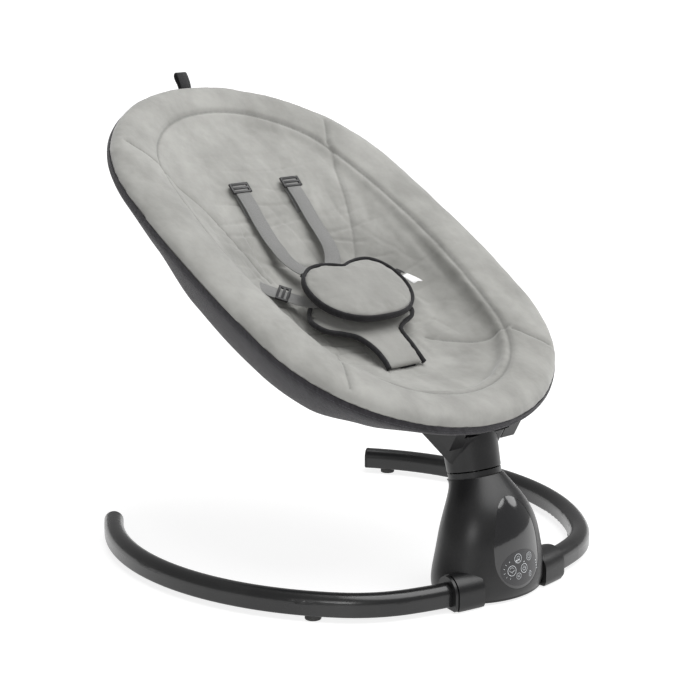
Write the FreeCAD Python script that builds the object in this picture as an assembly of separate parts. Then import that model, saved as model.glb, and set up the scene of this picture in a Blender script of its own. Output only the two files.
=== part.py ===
import FreeCAD, Part
import os
from math import acos, asin, atan2, cos, degrees, pi, radians, sin, sqrt, tan

# Baby swing: a C-shaped floor ring carries a motor housing; a leaning spindle in the housing
# swings an oval padded seat from side to side.  Millimetres.  +X right, -Y front (control panel
# and foot end), +Y head end, +Z up.  The origin is on the floor at the centre of the rubber pad
# under the housing.

# ---------------------------------------------------------------- driving dimensions
# floor ring
tube_width = 28.0            # D-shaped tube, round side up
tube_height = 30.0
tube_wall = 1.6
foot_height = 7.5            # the ring stands this far off the floor
ring_front_y = -30.0         # centre line of the ring at its foremost point
front_radius = 480.0
front_turn = 19.0
corner_radius = 178.0
corner_turn = 29.2
side_radius = 377.0
side_turn = 78.5
tube_start_x = 22.0          # the two tubes end inside the housing, this far from the middle
joiner_half_length = 72.0
near_foot_turn = 53.5        # heading of the ring where the rubber feet sit
far_foot_turn = 122.0
foot_radius = 11.0
cap_length = 5.0
cap_plug_length = 16.0

# motor housing
housing_wall = 2.8
housing_bottom = 7.0
plate_thickness = 3.4
pad_radius = 27.0
socket_wall = 7.0            # boss around each tube, outside its sleeve
socket_inner_x = 56.0
socket_mouth_x = 95.0
sleeve_wall = 2.2
lip_length = 5.0
lip_overhang = 8.5
panel_half_width = 41.0
panel_bottom = 17.0
panel_top = 139.0
touch_half_width = 34.0
touch_half_height = 24.0
touch_centre_z = 46.0
touch_thickness = 0.8

# swing spindle
spindle_lean = 14.0          # degrees back towards the head end
gap_y = 32.6                 # the spindle axis crosses the gap under the collar here
gap_z = 163.0
neck_radius = 36.5
neck_wall = 3.0
neck_length = 52.0
collar_length = 52.0
collar_radius = 37.0
collar_top_radius = 38.9
collar_gap = 2.0
shaft_radius = 8.0
bearing_radius = 13.0
bearing_width = 8.0
column_wall = 5.0
chassis_radius = 35.0
chassis_thickness = 6.0
chassis_level = -74.0        # underside of the chassis plate along the spindle

# drive
gear_module = 1.25
sector_teeth = 48
pinion_teeth = 12
gear_width = 7.0
gear_level = -93.0
sector_half_angle = 30.0
tooth_backlash = 0.5
motor_radius = 13.0
motor_length = 30.0
motor_shaft_radius = 2.5

# seat frame
seat_pitch = 29.45           # the hoop's plane rises towards the head end
seat_centre_y = 328.5
seat_centre_z = 427.7
hoop_half_length = 376.0
hoop_half_width = 240.0
hoop_end_radius = 232.0
hoop_tube_radius = 9.5
hoop_tube_wall = 1.4
connector_half_length = 38.0
connector_wall = 1.6

# soft goods
roll_radius = 17.0
hem_radius = 15.5
roll_edge = -4.0             # the grey roll ends here and the dark hem starts
pad_thickness = 15.0
sling_thickness = 3.0
pad_top = 6.0

# harness
webbing_width = 25.0
webbing_thickness = 1.6
shoulder_half_spacing = 48.0
buckle_s = -48.0
buckle_width = 58.0
buckle_length = 50.0
buckle_height = 13.0
button_radius = 9.0
button_travel = 4.0

# clearances
slip = 0.3                   # static pieces that slide together
soft_gap = 0.5               # soft goods beside their neighbours
running = 0.05               # radial clearance of a turning shaft

V = FreeCAD.Vector
up = V(0, 0, 1)

# base ring joints
ring_end = front_turn + corner_turn + side_turn
tube_screw_x = 44.0
tube_screw_radius = 2.5
tube_screw_head = 4.5
tube_screw_length = 22.0
tube_screw_head_height = 2.0
screw_slack = 0.3

# motor housing
# (height, half width, half depth, middle in Y) of the bell's level sections
bell_levels = (
    (housing_bottom, 85.0, 60.5, 3.0),
    (20.0, 88.5, 63.5, 3.0),
    (52.0, 83.5, 61.8, 3.0),
    (84.0, 76.0, 58.0, 3.5),
    (112.0, 65.5, 52.3, 6.3),
    (134.0, 52.5, 45.6, 12.6),
)
bell_rim_level = -9.0
bell_rim_radius = 38.6
split_y = 3.0
panel_depth = 91.0           # the outline prism reaches this far back from y = -100
panel_sink = 0.3             # the lens lies this far below the bell's surface
panel_floor = 1.7            # depth of the recess that the lens lies in
touch_recess = 1.0
touch_slip = 0.15
inlet_x = 34.0
inlet_z = 24.0
inlet_radius = 5.5
bell_middle_y = 3.0
vent_count = 7
vent_pitch = 6.0
speaker_x = 0.0
speaker_z = 59.0
speaker_radius = 21.0
speaker_front = 53.5

# spindle, bearings and chassis
upper_bearing_level = -20.0
leg_places = ((-30.0, 38.0), (30.0, 38.0), (-38.0, -3.0), (38.0, -3.0))
leg_radius = 5.0
leg_screw_radius = 1.6
leg_screw_head = 3.2
gear_distance = gear_module * (sector_teeth + pinion_teeth) / 2
motor_post_x = 20.0
motor_post_radius = 3.0
motor_top = gear_level - 7.0
bracket_thickness = 2.5
board_lean = 8.0
board_y = -47.4
board_z = 62.0
board_half_width = 28.0
board_half_height = 17.0
board_thickness = 1.6
board_pegs = ((-22.0, 52.0), (22.0, 52.0), (-22.0, 72.0), (22.0, 72.0))
hem_opening = 72.0

# seat pad and sling
# (level, half length, half width, end radius, middle along the seat)
inner_half_length = hoop_half_length - roll_radius - soft_gap
inner_half_width = hoop_half_width - roll_radius - soft_gap
inner_end_radius = hoop_end_radius - roll_radius - soft_gap
pad_edge = 16.0              # width of the pad's level edge inside the roll
hollow_levels = (
    (pad_top, inner_half_length - pad_edge, inner_half_width - pad_edge, inner_end_radius - pad_edge, 0.0),
    (-10.0, 262.0, 184.0, 174.0, -66.0),
    (-44.0, 150.0, 140.0, 130.0, -72.0),
    (-70.0, 76.0, 74.0, 72.0, -62.0),
)
sling_top = -16.5            # the sling starts to narrow below this level
sling_rim = 1.7              # thickness of its upright rim, between pad and hem
underside_levels = (
    (sling_top, inner_half_length - 1.0, inner_half_width - 1.0, inner_end_radius - 1.0, 0.0),
    (-40.0, 342.0, 217.0, 208.0, -8.0),
    (-62.0, 292.0, 200.0, 190.0, -26.0),
    (-78.0, 200.0, 158.0, 148.0, -50.0),
    (-73.0 - pad_thickness, 90.0, 80.0, 78.0, -60.0),
)

# seat bracket
bracket_half_width = 40.0
bracket_rear = -286.0
bracket_low = -76.0
bracket_high = -26.0
arm_inner_x = 42.0
arm_outer_x = 62.0
rib_count = 6
rib_thickness = 3.0
bracket_screw_x = 52.0

# harness details
crotch_s = -216.0
strap_lean = 1.0             # the straps converge towards the buckle
strap_start_s = 158.0
strap_start_level = -8.9
strap_slope = 14.6           # fall of the strap below the seat's plane at the adjuster
strap_run_gap = 4.6          # between the upper and the lower run
adjuster_low = -6.0
adjuster_high = 12.0
adjuster_wall = 1.5
strap_play = 0.6
strap_bend = -112.0          # here the strap turns in towards the buckle
lead_start = (46.0, 49.6, -35.5)
lead_end = (24.7, 4.0, -44.5)
strap_fold_low = -88.4
buckle_low = -49.6
# tongue: (x where it leaves, y where it leaves, direction in degrees from +X)
tongues = {
    "shoulder": (16.5, buckle_s + buckle_length / 2, 90.0 - 16.0),
    "waist": (buckle_width / 2, buckle_s - 8.0, -6.0),
}
blade_inside = 11.0
tongue_length = 26.0
tongue_head_start = 5.0
bean_low = -18.0
bean_thickness = 11.0
bean_s = -87.0
lobe_radius = 56.0
lobe_x = 34.0
bean_tab_low = -34.6


# ---------------------------------------------------------------- small helpers
def box(x0, x1, y0, y1, z0, z1):
    return Part.makeBox(x1 - x0, y1 - y0, z1 - z0, V(x0, y0, z0))


def rod(radius, start, end):
    start = V(*start)
    along = V(*end) - start
    return Part.makeCylinder(radius, along.Length, start, along)


def ring(outer, inner, z0, z1):
    return rod(outer, (0, 0, z0), (0, 0, z1)).cut(rod(inner, (0, 0, z0 - 1), (0, 0, z1 + 1)))


def mirrored(shape):
    return shape.mirror(V(0, 0, 0), V(1, 0, 0))


def fuse(*shapes):
    return shapes[0].fuse(list(shapes[1:])).removeSplitter()


def placed(shape, degrees_about_x, offset):
    moved = shape.copy()
    place = FreeCAD.Placement(offset, FreeCAD.Rotation(V(1, 0, 0), degrees_about_x))
    moved.Placement = place.multiply(shape.Placement)
    return moved


def softened(shape, radius, keep):
    edges = [edge for edge in shape.Edges if keep(edge)]
    return shape.makeFillet(radius, edges)


def lies_at(edge, axis, value):
    box_ = edge.BoundBox
    low, high = {"x": (box_.XMin, box_.XMax), "y": (box_.YMin, box_.YMax), "z": (box_.ZMin, box_.ZMax)}[axis]
    return abs(low - value) < 0.01 and abs(high - value) < 0.01


# ---------------------------------------------------------------- places
def on_spindle(shape):
    """Place a shape built about the Z axis onto the leaning spindle, Z = 0 at the collar gap."""
    return placed(shape, -spindle_lean, V(0, gap_y, gap_z))


def on_seat(shape):
    """Place a shape built in the hoop's own plane: x across, y along to the head, z outwards."""
    return placed(shape, seat_pitch, V(0, seat_centre_y, seat_centre_z))


def spindle_in_seat(shape):
    """A shape built on the spindle, given in the seat's own coordinates."""
    seat = FreeCAD.Placement(V(0, seat_centre_y, seat_centre_z), FreeCAD.Rotation(V(1, 0, 0), seat_pitch))
    moved = on_spindle(shape)
    moved.Placement = seat.inverse().multiply(moved.Placement)
    return moved


# ---------------------------------------------------------------- floor ring
def d_section(grow):
    """D-shaped face in the XZ plane, grown by grow all round, flat side down."""
    half = tube_width / 2 + grow
    low = foot_height - grow
    shoulder = foot_height + tube_height - tube_width / 2
    corner = max(3.0 + grow, 0.6)
    top = shoulder + half
    slant = corner * (1 - cos(pi / 4))
    edges = [
        Part.LineSegment(V(-half + corner, 0, low), V(half - corner, 0, low)),
        Part.Arc(V(half - corner, 0, low), V(half - slant, 0, low + slant), V(half, 0, low + corner)),
        Part.LineSegment(V(half, 0, low + corner), V(half, 0, shoulder)),
        Part.Arc(V(half, 0, shoulder), V(0, 0, top), V(-half, 0, shoulder)),
        Part.LineSegment(V(-half, 0, shoulder), V(-half, 0, low + corner)),
        Part.Arc(V(-half, 0, low + corner), V(-half + slant, 0, low + slant), V(-half + corner, 0, low)),
    ]
    return Part.Face(Part.Wire([edge.toShape() for edge in edges]))


def ring_arcs():
    """The right half of the ring's centre line: centre, radius, first and last heading."""
    arcs = []
    point = V(0, ring_front_y, 0)
    heading = 0.0
    for radius, turn in ((front_radius, front_turn), (corner_radius, corner_turn), (side_radius, side_turn)):
        h = radians(heading)
        centre = point + V(-sin(h), cos(h), 0) * radius
        arcs.append((centre, radius, heading, heading + turn))
        heading += turn
        h = radians(heading)
        point = centre + V(sin(h), -cos(h), 0) * radius
    return arcs


def ring_point(heading):
    for centre, radius, first, last in ring_arcs():
        if first <= heading <= last:
            h = radians(heading)
            return centre + V(sin(h), -cos(h), 0) * radius
    return None


def swept_ring(section, first_heading, last_heading):
    """Sweep a section in the XZ plane along the right half of the ring."""
    pieces = []
    for centre, radius, first, last in ring_arcs():
        start = max(first, first_heading)
        end = min(last, last_heading)
        if end - start < 0.01:
            continue
        face = section.copy()
        face.translate(V(radius, 0, 0))
        piece = face.revolve(V(0, 0, 0), up, end - start)
        piece.rotate(V(0, 0, 0), up, start - 90)
        piece.translate(centre)
        pieces.append(piece)
    return pieces[0] if len(pieces) == 1 else fuse(*pieces)


def front_heading(x):
    return degrees(asin(x / front_radius))


def base_tube():
    section = d_section(0).cut(d_section(-tube_wall))
    tube = swept_ring(section, front_heading(tube_start_x), ring_end)
    return tube.cut(tube_screw(screw_slack))


def base_joiner():
    half = swept_ring(d_section(-tube_wall - slip), 0, front_heading(joiner_half_length))
    bar = fuse(half, mirrored(half))
    for shape in (tube_screw(0), mirrored(tube_screw(0))):
        bar = bar.cut(shape)
    return bar


def tube_screw(grow):
    """Screw from below, through the base plate and the tube's flat side, into the joiner."""
    point = ring_point(front_heading(tube_screw_x))
    low = housing_bottom - plate_thickness
    high = low + tube_screw_head_height
    head = rod(tube_screw_head + grow, (point.x, point.y, low), (point.x, point.y, high))
    stem = rod(tube_screw_radius + grow, (point.x, point.y, low), (point.x, point.y, low + tube_screw_length))
    return fuse(head, stem)


def at_ring_end(shape):
    """Place a shape whose section is in the XZ plane and that runs along +Y at the tube's end."""
    moved = shape.copy()
    moved.rotate(V(0, 0, 0), up, ring_end - 90)
    moved.translate(ring_point(ring_end))
    return moved


def tube_cap():
    cover = d_section(0).extrude(V(0, cap_length, 0))
    cover = softened(cover, 2.4, lambda edge: lies_at(edge, "y", cap_length))
    plug = d_section(-tube_wall - slip).extrude(V(0, -cap_plug_length, 0))
    return at_ring_end(fuse(cover, plug))


def rubber_foot(heading):
    point = ring_point(heading)
    foot = rod(foot_radius, (point.x, point.y, 0), (point.x, point.y, foot_height))
    return softened(foot, 1.5, lambda edge: lies_at(edge, "z", 0))


def ellipse(half_x, half_y, middle_y, z):
    return Part.Wire(Part.Ellipse(V(0, middle_y, z), half_x, half_y).toShape())


def bell(inset):
    """The housing's bell, shrunk by inset, closed at its bottom and at the neck."""
    wires = [ellipse(a - inset, b - inset, y, z) for z, a, b, y in bell_levels]
    rim = Part.Wire(Part.Circle(V(0, 0, bell_rim_level - inset / 2), up, bell_rim_radius - inset).toShape())
    wires.append(on_spindle(rim))
    return Part.makeLoft(wires, True, False)


def socket_boss():
    grow = slip * 2 + sleeve_wall + socket_wall
    boss = swept_ring(d_section(grow), front_heading(socket_inner_x), front_heading(socket_mouth_x))
    return boss.cut(box(0, 200, -200, 200, -20, 2.0))


def socket_bore():
    grow = slip * 2 + sleeve_wall
    return swept_ring(d_section(grow), 0, front_heading(socket_mouth_x + 20))


def housing_shell():
    shell = bell(0).cut(bell(housing_wall))
    shell = shell.cut(on_spindle(rod(neck_radius + slip, (0, 0, -90), (0, 0, 10))))
    boss = socket_boss().cut(bell(housing_wall))
    shell = fuse(shell, boss, mirrored(boss))
    bore = socket_bore()
    return shell.cut(bore).cut(mirrored(bore))


def panel_outline(inset, depth):
    """Egg-shaped prism through the front wall: wide at the bottom, narrow at the top."""
    half = panel_half_width - inset
    low = panel_bottom + inset
    top = panel_top - inset
    belly = low + half
    tip = 19.0
    points = [
        Part.Arc(V(-half, 0, belly), V(0, 0, low), V(half, 0, belly)),
        Part.BSplineCurve(),
    ]
    side = [V(half, 0, belly), V(half * 0.93, 0, belly + 34), V(tip, 0, top - 9), V(0, 0, top),
            V(-tip, 0, top - 9), V(-half * 0.93, 0, belly + 34), V(-half, 0, belly)]
    points[1].interpolate(side, InitialTangent=V(0, 0, 1), FinalTangent=V(0, 0, -1))
    face = Part.Face(Part.Wire([curve.toShape() for curve in points]))
    face.translate(V(0, -100, 0))
    return face.extrude(V(0, depth, 0))


def control_panel():
    """Glossy lens laid in the egg-shaped recess of the front."""
    lens = panel_outline(slip, panel_depth).common(bell(panel_sink)).cut(bell(panel_floor - 0.05))
    return lens.cut(touch_prism(-touch_slip).cut(bell(touch_recess)))


def touch_prism(inset):
    half_x = touch_half_width - inset
    half_z = touch_half_height - inset
    oval = Part.Wire(Part.Ellipse(V(0, 0, 0), half_x, half_z).toShape())
    oval.rotate(V(0, 0, 0), V(1, 0, 0), 90)
    oval.translate(V(0, -100, touch_centre_z))
    return Part.Face(oval).extrude(V(0, 90, 0))


def touch_pad():
    """Thin oval of touch keys laid into the lens."""
    return touch_prism(0).common(bell(touch_recess - touch_thickness)).cut(bell(touch_recess - 0.05))


def front_housing(shell):
    front = shell.common(box(-200, 200, -200, split_y, -10, 300))
    front = front.cut(panel_outline(0, panel_depth).cut(bell(panel_floor)))
    room = place_board(box(-60, 60, -board_thickness / 2 - slip, 60, -60, 60))
    for x, z in board_pegs:
        peg = rod(2.5, (x, -90, z), (x, board_y + 10, z)).common(bell(panel_floor + 0.5)).cut(room)
        front = front.fuse(peg)
    return front


def rear_housing(shell):
    rear = shell.common(box(-200, 200, split_y, 200, -10, 300)).fuse(speaker_ring())
    for shape in (inlet_hole(), vent_slots()):
        rear = rear.cut(shape)
    return rear


def inlet_hole():
    return rod(inlet_radius + slip, (inlet_x, 20, inlet_z), (inlet_x, 100, inlet_z))


def dc_inlet():
    """Round low-voltage socket set in the back of the housing."""
    wall_y = bell_middle_y + 57.5
    barrel = rod(inlet_radius, (inlet_x, wall_y - 16, inlet_z), (inlet_x, wall_y + 1.5, inlet_z))
    flange = rod(inlet_radius + 2.5, (inlet_x, wall_y - 8.0, inlet_z), (inlet_x, wall_y - 6.0, inlet_z))
    mouth = rod(2.8, (inlet_x, wall_y - 9, inlet_z), (inlet_x, wall_y + 3, inlet_z))
    pin = rod(1.0, (inlet_x, wall_y - 10, inlet_z), (inlet_x, wall_y - 0.5, inlet_z))
    return fuse(fuse(barrel, flange).cut(mouth), pin)


def vent_slots():
    """Speaker slots in the back of the housing."""
    slots = []
    for index in range(vent_count):
        z = speaker_z + (index - (vent_count - 1) / 2) * vent_pitch
        half = sqrt(max(speaker_radius ** 2 - (z - speaker_z) ** 2, 0)) - 3
        slots.append(box(speaker_x - half, speaker_x + half, 20, 100, z - 1.2, z + 1.2))
    return fuse(*slots)


def speaker():
    """Small cone speaker facing the slots."""
    rim_back = speaker_front - 2.5
    cone_back = rim_back - 9.0
    magnet = rod(12.0, (speaker_x, cone_back - 8, speaker_z), (speaker_x, cone_back, speaker_z))
    cone = Part.makeCone(12.0, speaker_radius - 2, 9.0, V(speaker_x, cone_back, speaker_z), V(0, 1, 0))
    rim = rod(speaker_radius - 1, (speaker_x, rim_back, speaker_z), (speaker_x, speaker_front, speaker_z))
    hollow = Part.makeCone(7.0, speaker_radius - 4, 9.5, V(speaker_x, cone_back + 3, speaker_z), V(0, 1, 0))
    return fuse(magnet, cone, rim).cut(hollow)


def speaker_ring():
    """Rib inside the back shell that the speaker's rim sits in."""
    outer = rod(speaker_radius + 1.5, (speaker_x, speaker_front - 3, speaker_z), (speaker_x, 70, speaker_z))
    mouth = (speaker_x, speaker_front - 4, speaker_z)
    inner = rod(speaker_radius - 1 + slip, mouth, (speaker_x, 71, speaker_z))
    return outer.cut(inner).common(bell(housing_wall - 0.8))


def base_plate():
    low = housing_bottom - plate_thickness
    plate = Part.Face(ellipse(84.0, 59.5, 3.0, low)).extrude(V(0, 0, plate_thickness))
    grow = slip * 3 + sleeve_wall + socket_wall
    boss = swept_ring(d_section(grow), front_heading(socket_inner_x) - slip, front_heading(socket_mouth_x))
    plate = plate.cut(boss).cut(mirrored(boss))
    screws = [tube_screw(slip), mirrored(tube_screw(slip))] + [leg_screw(x, y, slip) for x, y in leg_places]
    for shape in screws:
        plate = plate.cut(shape)
    return plate


def rest_pad():
    top = housing_bottom - plate_thickness
    pad = rod(pad_radius, (0, 0, 0), (0, 0, top))
    return softened(pad, 1.2, lambda edge: lies_at(edge, "z", 0))


def sleeve_length_turn():
    return front_heading(socket_mouth_x) - front_heading(socket_inner_x + 6)


def socket_sleeve():
    """Sleeve between tube and boss, with a flared lip at the mouth."""
    mouth = front_heading(socket_mouth_x)
    body = swept_ring(d_section(slip + sleeve_wall), mouth - sleeve_length_turn(), mouth + slip)
    lip_end = front_heading(socket_mouth_x + lip_length)
    lip = swept_ring(d_section(lip_overhang), mouth + slip / 2, lip_end)
    lip = lip.cut(box(0, 200, -200, 200, -20, 2.6))
    bore = swept_ring(d_section(slip), 0, lip_end + 5)
    return fuse(body, lip).cut(bore)


def leg_screw(x, y, grow):
    low = housing_bottom - plate_thickness
    head = rod(leg_screw_head + grow, (x, y, low), (x, y, low + 1.8))
    stem = rod(leg_screw_radius + grow, (x, y, low), (x, y, low + 14))
    return fuse(head, stem)


def leg_screws():
    return Part.makeCompound([leg_screw(x, y, 0) for x, y in leg_places])


def chassis():
    """Moulded frame: a leaning column for the bearings on a plate with four legs."""
    top = chassis_level + chassis_thickness
    plate = rod(chassis_radius, (0, 0, chassis_level), (0, 0, top))
    arm_end = gear_distance + motor_post_radius + 5
    arm = box(-motor_post_x - 5, motor_post_x + 5, -arm_end, 0, chassis_level, top)
    column = rod(bearing_radius + column_wall, (0, 0, top), (0, 0, upper_bearing_level + bearing_width))
    bore = rod(shaft_radius + 2.0, (0, 0, -120), (0, 0, 20))
    seats = fuse(rod(bearing_radius, (0, 0, chassis_level - 1), (0, 0, chassis_level + bearing_width)),
                 rod(bearing_radius, (0, 0, upper_bearing_level), (0, 0, 20)))
    frame = on_spindle(fuse(plate, arm, column).cut(bore).cut(seats))
    roof = on_spindle(box(-100, 100, -100, 100, chassis_level + 1, 60))
    for x, y in leg_places:
        ear = on_spindle(rod(leg_radius + 2, (x, spindle_v(y), chassis_level), (x, spindle_v(y), top)))
        rib = on_spindle(box(min(0, x), max(0, x), spindle_v(y) - 3, spindle_v(y) + 3, chassis_level, top))
        leg = rod(leg_radius, (x, y, housing_bottom), (x, y, 140)).cut(roof)
        frame = fuse(frame, ear, rib.cut(on_spindle(bore)).cut(on_spindle(seats)), leg)
        frame = frame.cut(leg_screw(x, y, 0))
    return frame


def spindle_v(y):
    """Distance across the leaning spindle, at the chassis plate, of a vertical line at y."""
    lean = radians(spindle_lean)
    centre_y = gap_y + chassis_level * sin(lean)
    return (y - centre_y) / cos(lean)


def bearing(level):
    outer = ring(bearing_radius, bearing_radius - 2.2, level, level + bearing_width)
    inner = ring(shaft_radius + running + 2.0, shaft_radius + running, level, level + bearing_width)
    shield = ring(bearing_radius - 2.2, shaft_radius + running + 2.0, level + 1, level + bearing_width - 1)
    return on_spindle(fuse(outer, inner, shield))


def neck_ring():
    """Fixed leaning cylinder between the bell and the collar."""
    wall = ring(neck_radius, neck_radius - neck_wall, -neck_length, -collar_gap / 2)
    floor = ring(neck_radius, bearing_radius + column_wall + slip, -neck_length, -neck_length + neck_wall)
    return on_spindle(fuse(wall, floor))


def swing_shaft():
    shaft = rod(shaft_radius, (0, 0, gear_level - 6), (0, 0, collar_length - 8))
    top = 0.8
    shaft = shaft.makeChamfer(top, [e for e in shaft.Edges if lies_at(e, "z", gear_level - 6)])
    return on_spindle(shaft)


def swivel_collar():
    """Turning cup above the gap; it grips the spindle and carries the seat bracket."""
    low = collar_gap / 2
    outer = Part.makeCone(collar_radius, collar_top_radius, collar_length - low, V(0, 0, low), up)
    hollow = Part.makeCone(collar_radius - neck_wall, collar_top_radius - neck_wall,
                           collar_length - low - 12, V(0, 0, low - 0.01), up)
    hub = ring(shaft_radius + 6, shaft_radius, low + 4, collar_length - 12)
    well = rod(shaft_radius, (0, 0, -5), (0, 0, collar_length - 8))
    return on_spindle(fuse(outer.cut(hollow), hub).cut(well))


# ---------------------------------------------------------------- drive gears
def involute(base_radius, radius):
    """Angle by which an involute has turned away from its root at a radius."""
    if radius <= base_radius:
        return 0.0
    pressure = acos(base_radius / radius)
    return tan(pressure) - pressure


def gear_solid(teeth, width, backlash):
    """Spur gear about Z with a tooth centred on +Y."""
    pitch = gear_module * teeth / 2
    base = pitch * cos(radians(20))
    root = pitch - 1.25 * gear_module
    tip = pitch + gear_module
    half_tooth = pi / (2 * teeth) - backlash / (2 * pitch)
    first = max(base, root)
    radii = [first + (tip - first) * step / 4 for step in range(5)]
    flank = [(r, half_tooth + involute(base, pitch) - involute(base, r)) for r in radii]
    outline = []
    for tooth in range(teeth):
        middle = pi / 2 + 2 * pi * tooth / teeth
        if root < first:
            outline.append((root, middle - flank[0][1]))
        outline += [(r, middle - a) for r, a in flank]
        outline += [(r, middle + a) for r, a in reversed(flank)]
        if root < first:
            outline.append((root, middle + flank[0][1]))
    points = [V(r * cos(a), r * sin(a), 0) for r, a in outline]
    return Part.Face(Part.makePolygon(points + points[:1])).extrude(V(0, 0, width))


def wedge(half_angle, radius, width):
    a = radians(half_angle)
    far = radius * 2
    corners = [V(0, 0, 0), V(-far * sin(a), -far * cos(a), 0), V(far * sin(a), -far * cos(a), 0)]
    return Part.Face(Part.makePolygon(corners + corners[:1])).extrude(V(0, 0, width))


def sector_gear():
    """Toothed sector clamped on the spindle; a tooth space faces the motor pinion."""
    gear = gear_solid(sector_teeth, gear_width, tooth_backlash)
    gear.rotate(V(0, 0, 0), up, 180.0 / sector_teeth)
    teeth = gear.common(wedge(sector_half_angle + 90.0 / sector_teeth, gear_distance, gear_width))
    hub = rod(shaft_radius + 5, (0, 0, 0), (0, 0, gear_width))
    body = fuse(teeth, hub).cut(rod(shaft_radius, (0, 0, -1), (0, 0, gear_width + 1)))
    body.translate(V(0, 0, gear_level))
    return on_spindle(body)


def drive_pinion():
    gear = gear_solid(pinion_teeth, gear_width + 1, tooth_backlash)
    gear = gear.cut(rod(motor_shaft_radius, (0, 0, -1), (0, 0, gear_width + 2)))
    gear.translate(V(0, -gear_distance, gear_level - 0.5))
    return on_spindle(gear)


def motor_shaft():
    top = (0, -gear_distance, gear_level + gear_width + 1)
    shaft = rod(motor_shaft_radius, (0, -gear_distance, motor_top - 12), top)
    return on_spindle(shaft)


def motor():
    low = motor_top - bracket_thickness - motor_length
    can = rod(motor_radius, (0, -gear_distance, low), (0, -gear_distance, motor_top - bracket_thickness))
    nose = rod(5.0, (0, -gear_distance, low), (0, -gear_distance, motor_top))
    well = rod(motor_shaft_radius + running, (0, -gear_distance, motor_top - 14), (0, -gear_distance, 0))
    return on_spindle(fuse(can, nose).cut(well))


def motor_bracket():
    """Plate under the pinion, hung from the chassis on two posts."""
    low = motor_top - bracket_thickness
    plate = box(-motor_post_x - 4, motor_post_x + 4, -gear_distance - 9, -gear_distance + 9, low, motor_top)
    posts = [rod(motor_post_radius, (x, -gear_distance, low), (x, -gear_distance, chassis_level))
             for x in (-motor_post_x, motor_post_x)]
    hole = rod(5.0 + slip, (0, -gear_distance, low - 1), (0, -gear_distance, motor_top + 1))
    return on_spindle(fuse(plate, *posts).cut(hole))


def place_board(shape):
    return placed(shape, -board_lean, V(0, board_y, board_z))


def control_board():
    """Circuit board behind the touch keys."""
    half = board_thickness / 2
    board = box(-board_half_width, board_half_width, -half, half, -board_half_height, board_half_height)
    chips = [box(-26, -15, half, half + 2.0, -8, 4), box(15, 25, half, half + 1.8, -4, 6)]
    return place_board(fuse(board, *chips))


# ---------------------------------------------------------------- seat hoop
def oval_arcs(half_length, half_width, end_radius):
    """Centres, radii and turns of a four-arc oval, long way along Y."""
    reach = half_length - end_radius
    side = (half_width ** 2 + reach ** 2 - end_radius ** 2) / (2 * (half_width - end_radius))
    half_turn = degrees(atan2(side - half_width, reach))
    return reach, side, half_turn


def oval_quarter(half_length, half_width, end_radius, middle, z):
    """Two arcs of the quarter from the +Y tip round to the +X side."""
    reach, side, half_turn = oval_arcs(half_length, half_width, end_radius)
    a = radians(90 - half_turn)
    end_centre = V(0, middle + reach, z)
    side_centre = V(half_width - side, middle, z)
    joint = end_centre + V(cos(a), sin(a), 0) * end_radius
    half_end = radians(90 - half_turn / 2)
    tip = end_centre + V(0, end_radius, 0)
    end_mid = end_centre + V(cos(half_end), sin(half_end), 0) * end_radius
    side_mid = side_centre + V(cos(a / 2), sin(a / 2), 0) * side
    flank = side_centre + V(side, 0, 0)
    return [Part.Arc(tip, end_mid, joint).toShape(), Part.Arc(joint, side_mid, flank).toShape()]


def oval_wire(half_length, half_width, end_radius, middle, z):
    edges = []
    for flip_y in (False, True):
        for flip_x in (False, True):
            quarter = oval_quarter(half_length, half_width, end_radius, 0, 0)
            for edge in quarter:
                if flip_x:
                    edge = edge.mirror(V(0, 0, 0), V(1, 0, 0))
                if flip_y:
                    edge = edge.mirror(V(0, 0, 0), V(0, 1, 0))
                edge.translate(V(0, middle, z))
                edges.append(edge)
    return Part.Wire(Part.__sortEdges__(edges))


def swept_oval(section):
    """Sweep a face in the XZ plane (x outwards) round the head half of the hoop."""
    reach, side, half_turn = oval_arcs(hoop_half_length, hoop_half_width, hoop_end_radius)
    end = section.copy()
    end.translate(V(hoop_end_radius, 0, 0))
    end = end.revolve(V(0, 0, 0), up, 2 * half_turn)
    end.rotate(V(0, 0, 0), up, 90 - half_turn)
    end.translate(V(0, reach, 0))
    flank = section.copy()
    flank.translate(V(side, 0, 0))
    flank = flank.revolve(V(0, 0, 0), up, 90 - half_turn)
    flank.translate(V(hoop_half_width - side, 0, 0))
    return fuse(end, flank, mirrored(flank))


def disc(radius):
    circle = Part.Wire(Part.Circle(V(0, 0, 0), V(0, 1, 0), radius).toShape())
    return Part.Face(circle)


def foot_half(shape):
    return shape.mirror(V(0, 0, 0), V(0, 1, 0))


def hoop_tube():
    section = disc(hoop_tube_radius).cut(disc(hoop_tube_radius - hoop_tube_wall))
    return swept_oval(section)


def lower_hoop():
    tube = foot_half(hoop_tube())
    for screw in bracket_screw_pair(slip):
        tube = tube.cut(screw)
    return tube


def hoop_connector():
    """Short spigot inside the two half hoops where they meet at the side."""
    side = oval_arcs(hoop_half_length, hoop_half_width, hoop_end_radius)[1]
    turn = degrees(connector_half_length / side)
    section = disc(hoop_tube_radius - hoop_tube_wall - slip)
    section = section.cut(disc(hoop_tube_radius - hoop_tube_wall - slip - connector_wall))
    section.translate(V(side, 0, 0))
    spigot = section.revolve(V(0, 0, 0), up, 2 * turn)
    spigot.rotate(V(0, 0, 0), up, -turn)
    spigot.translate(V(hoop_half_width - side, 0, 0))
    return spigot


def rim_roll():
    """Padded grey edge rolled over the hoop."""
    section = disc(roll_radius).cut(disc(hoop_tube_radius + soft_gap))
    section = section.cut(xz_face(-50, 50, -50, roll_edge))
    half = swept_oval(section)
    return fuse(half, foot_half(half))


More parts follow.
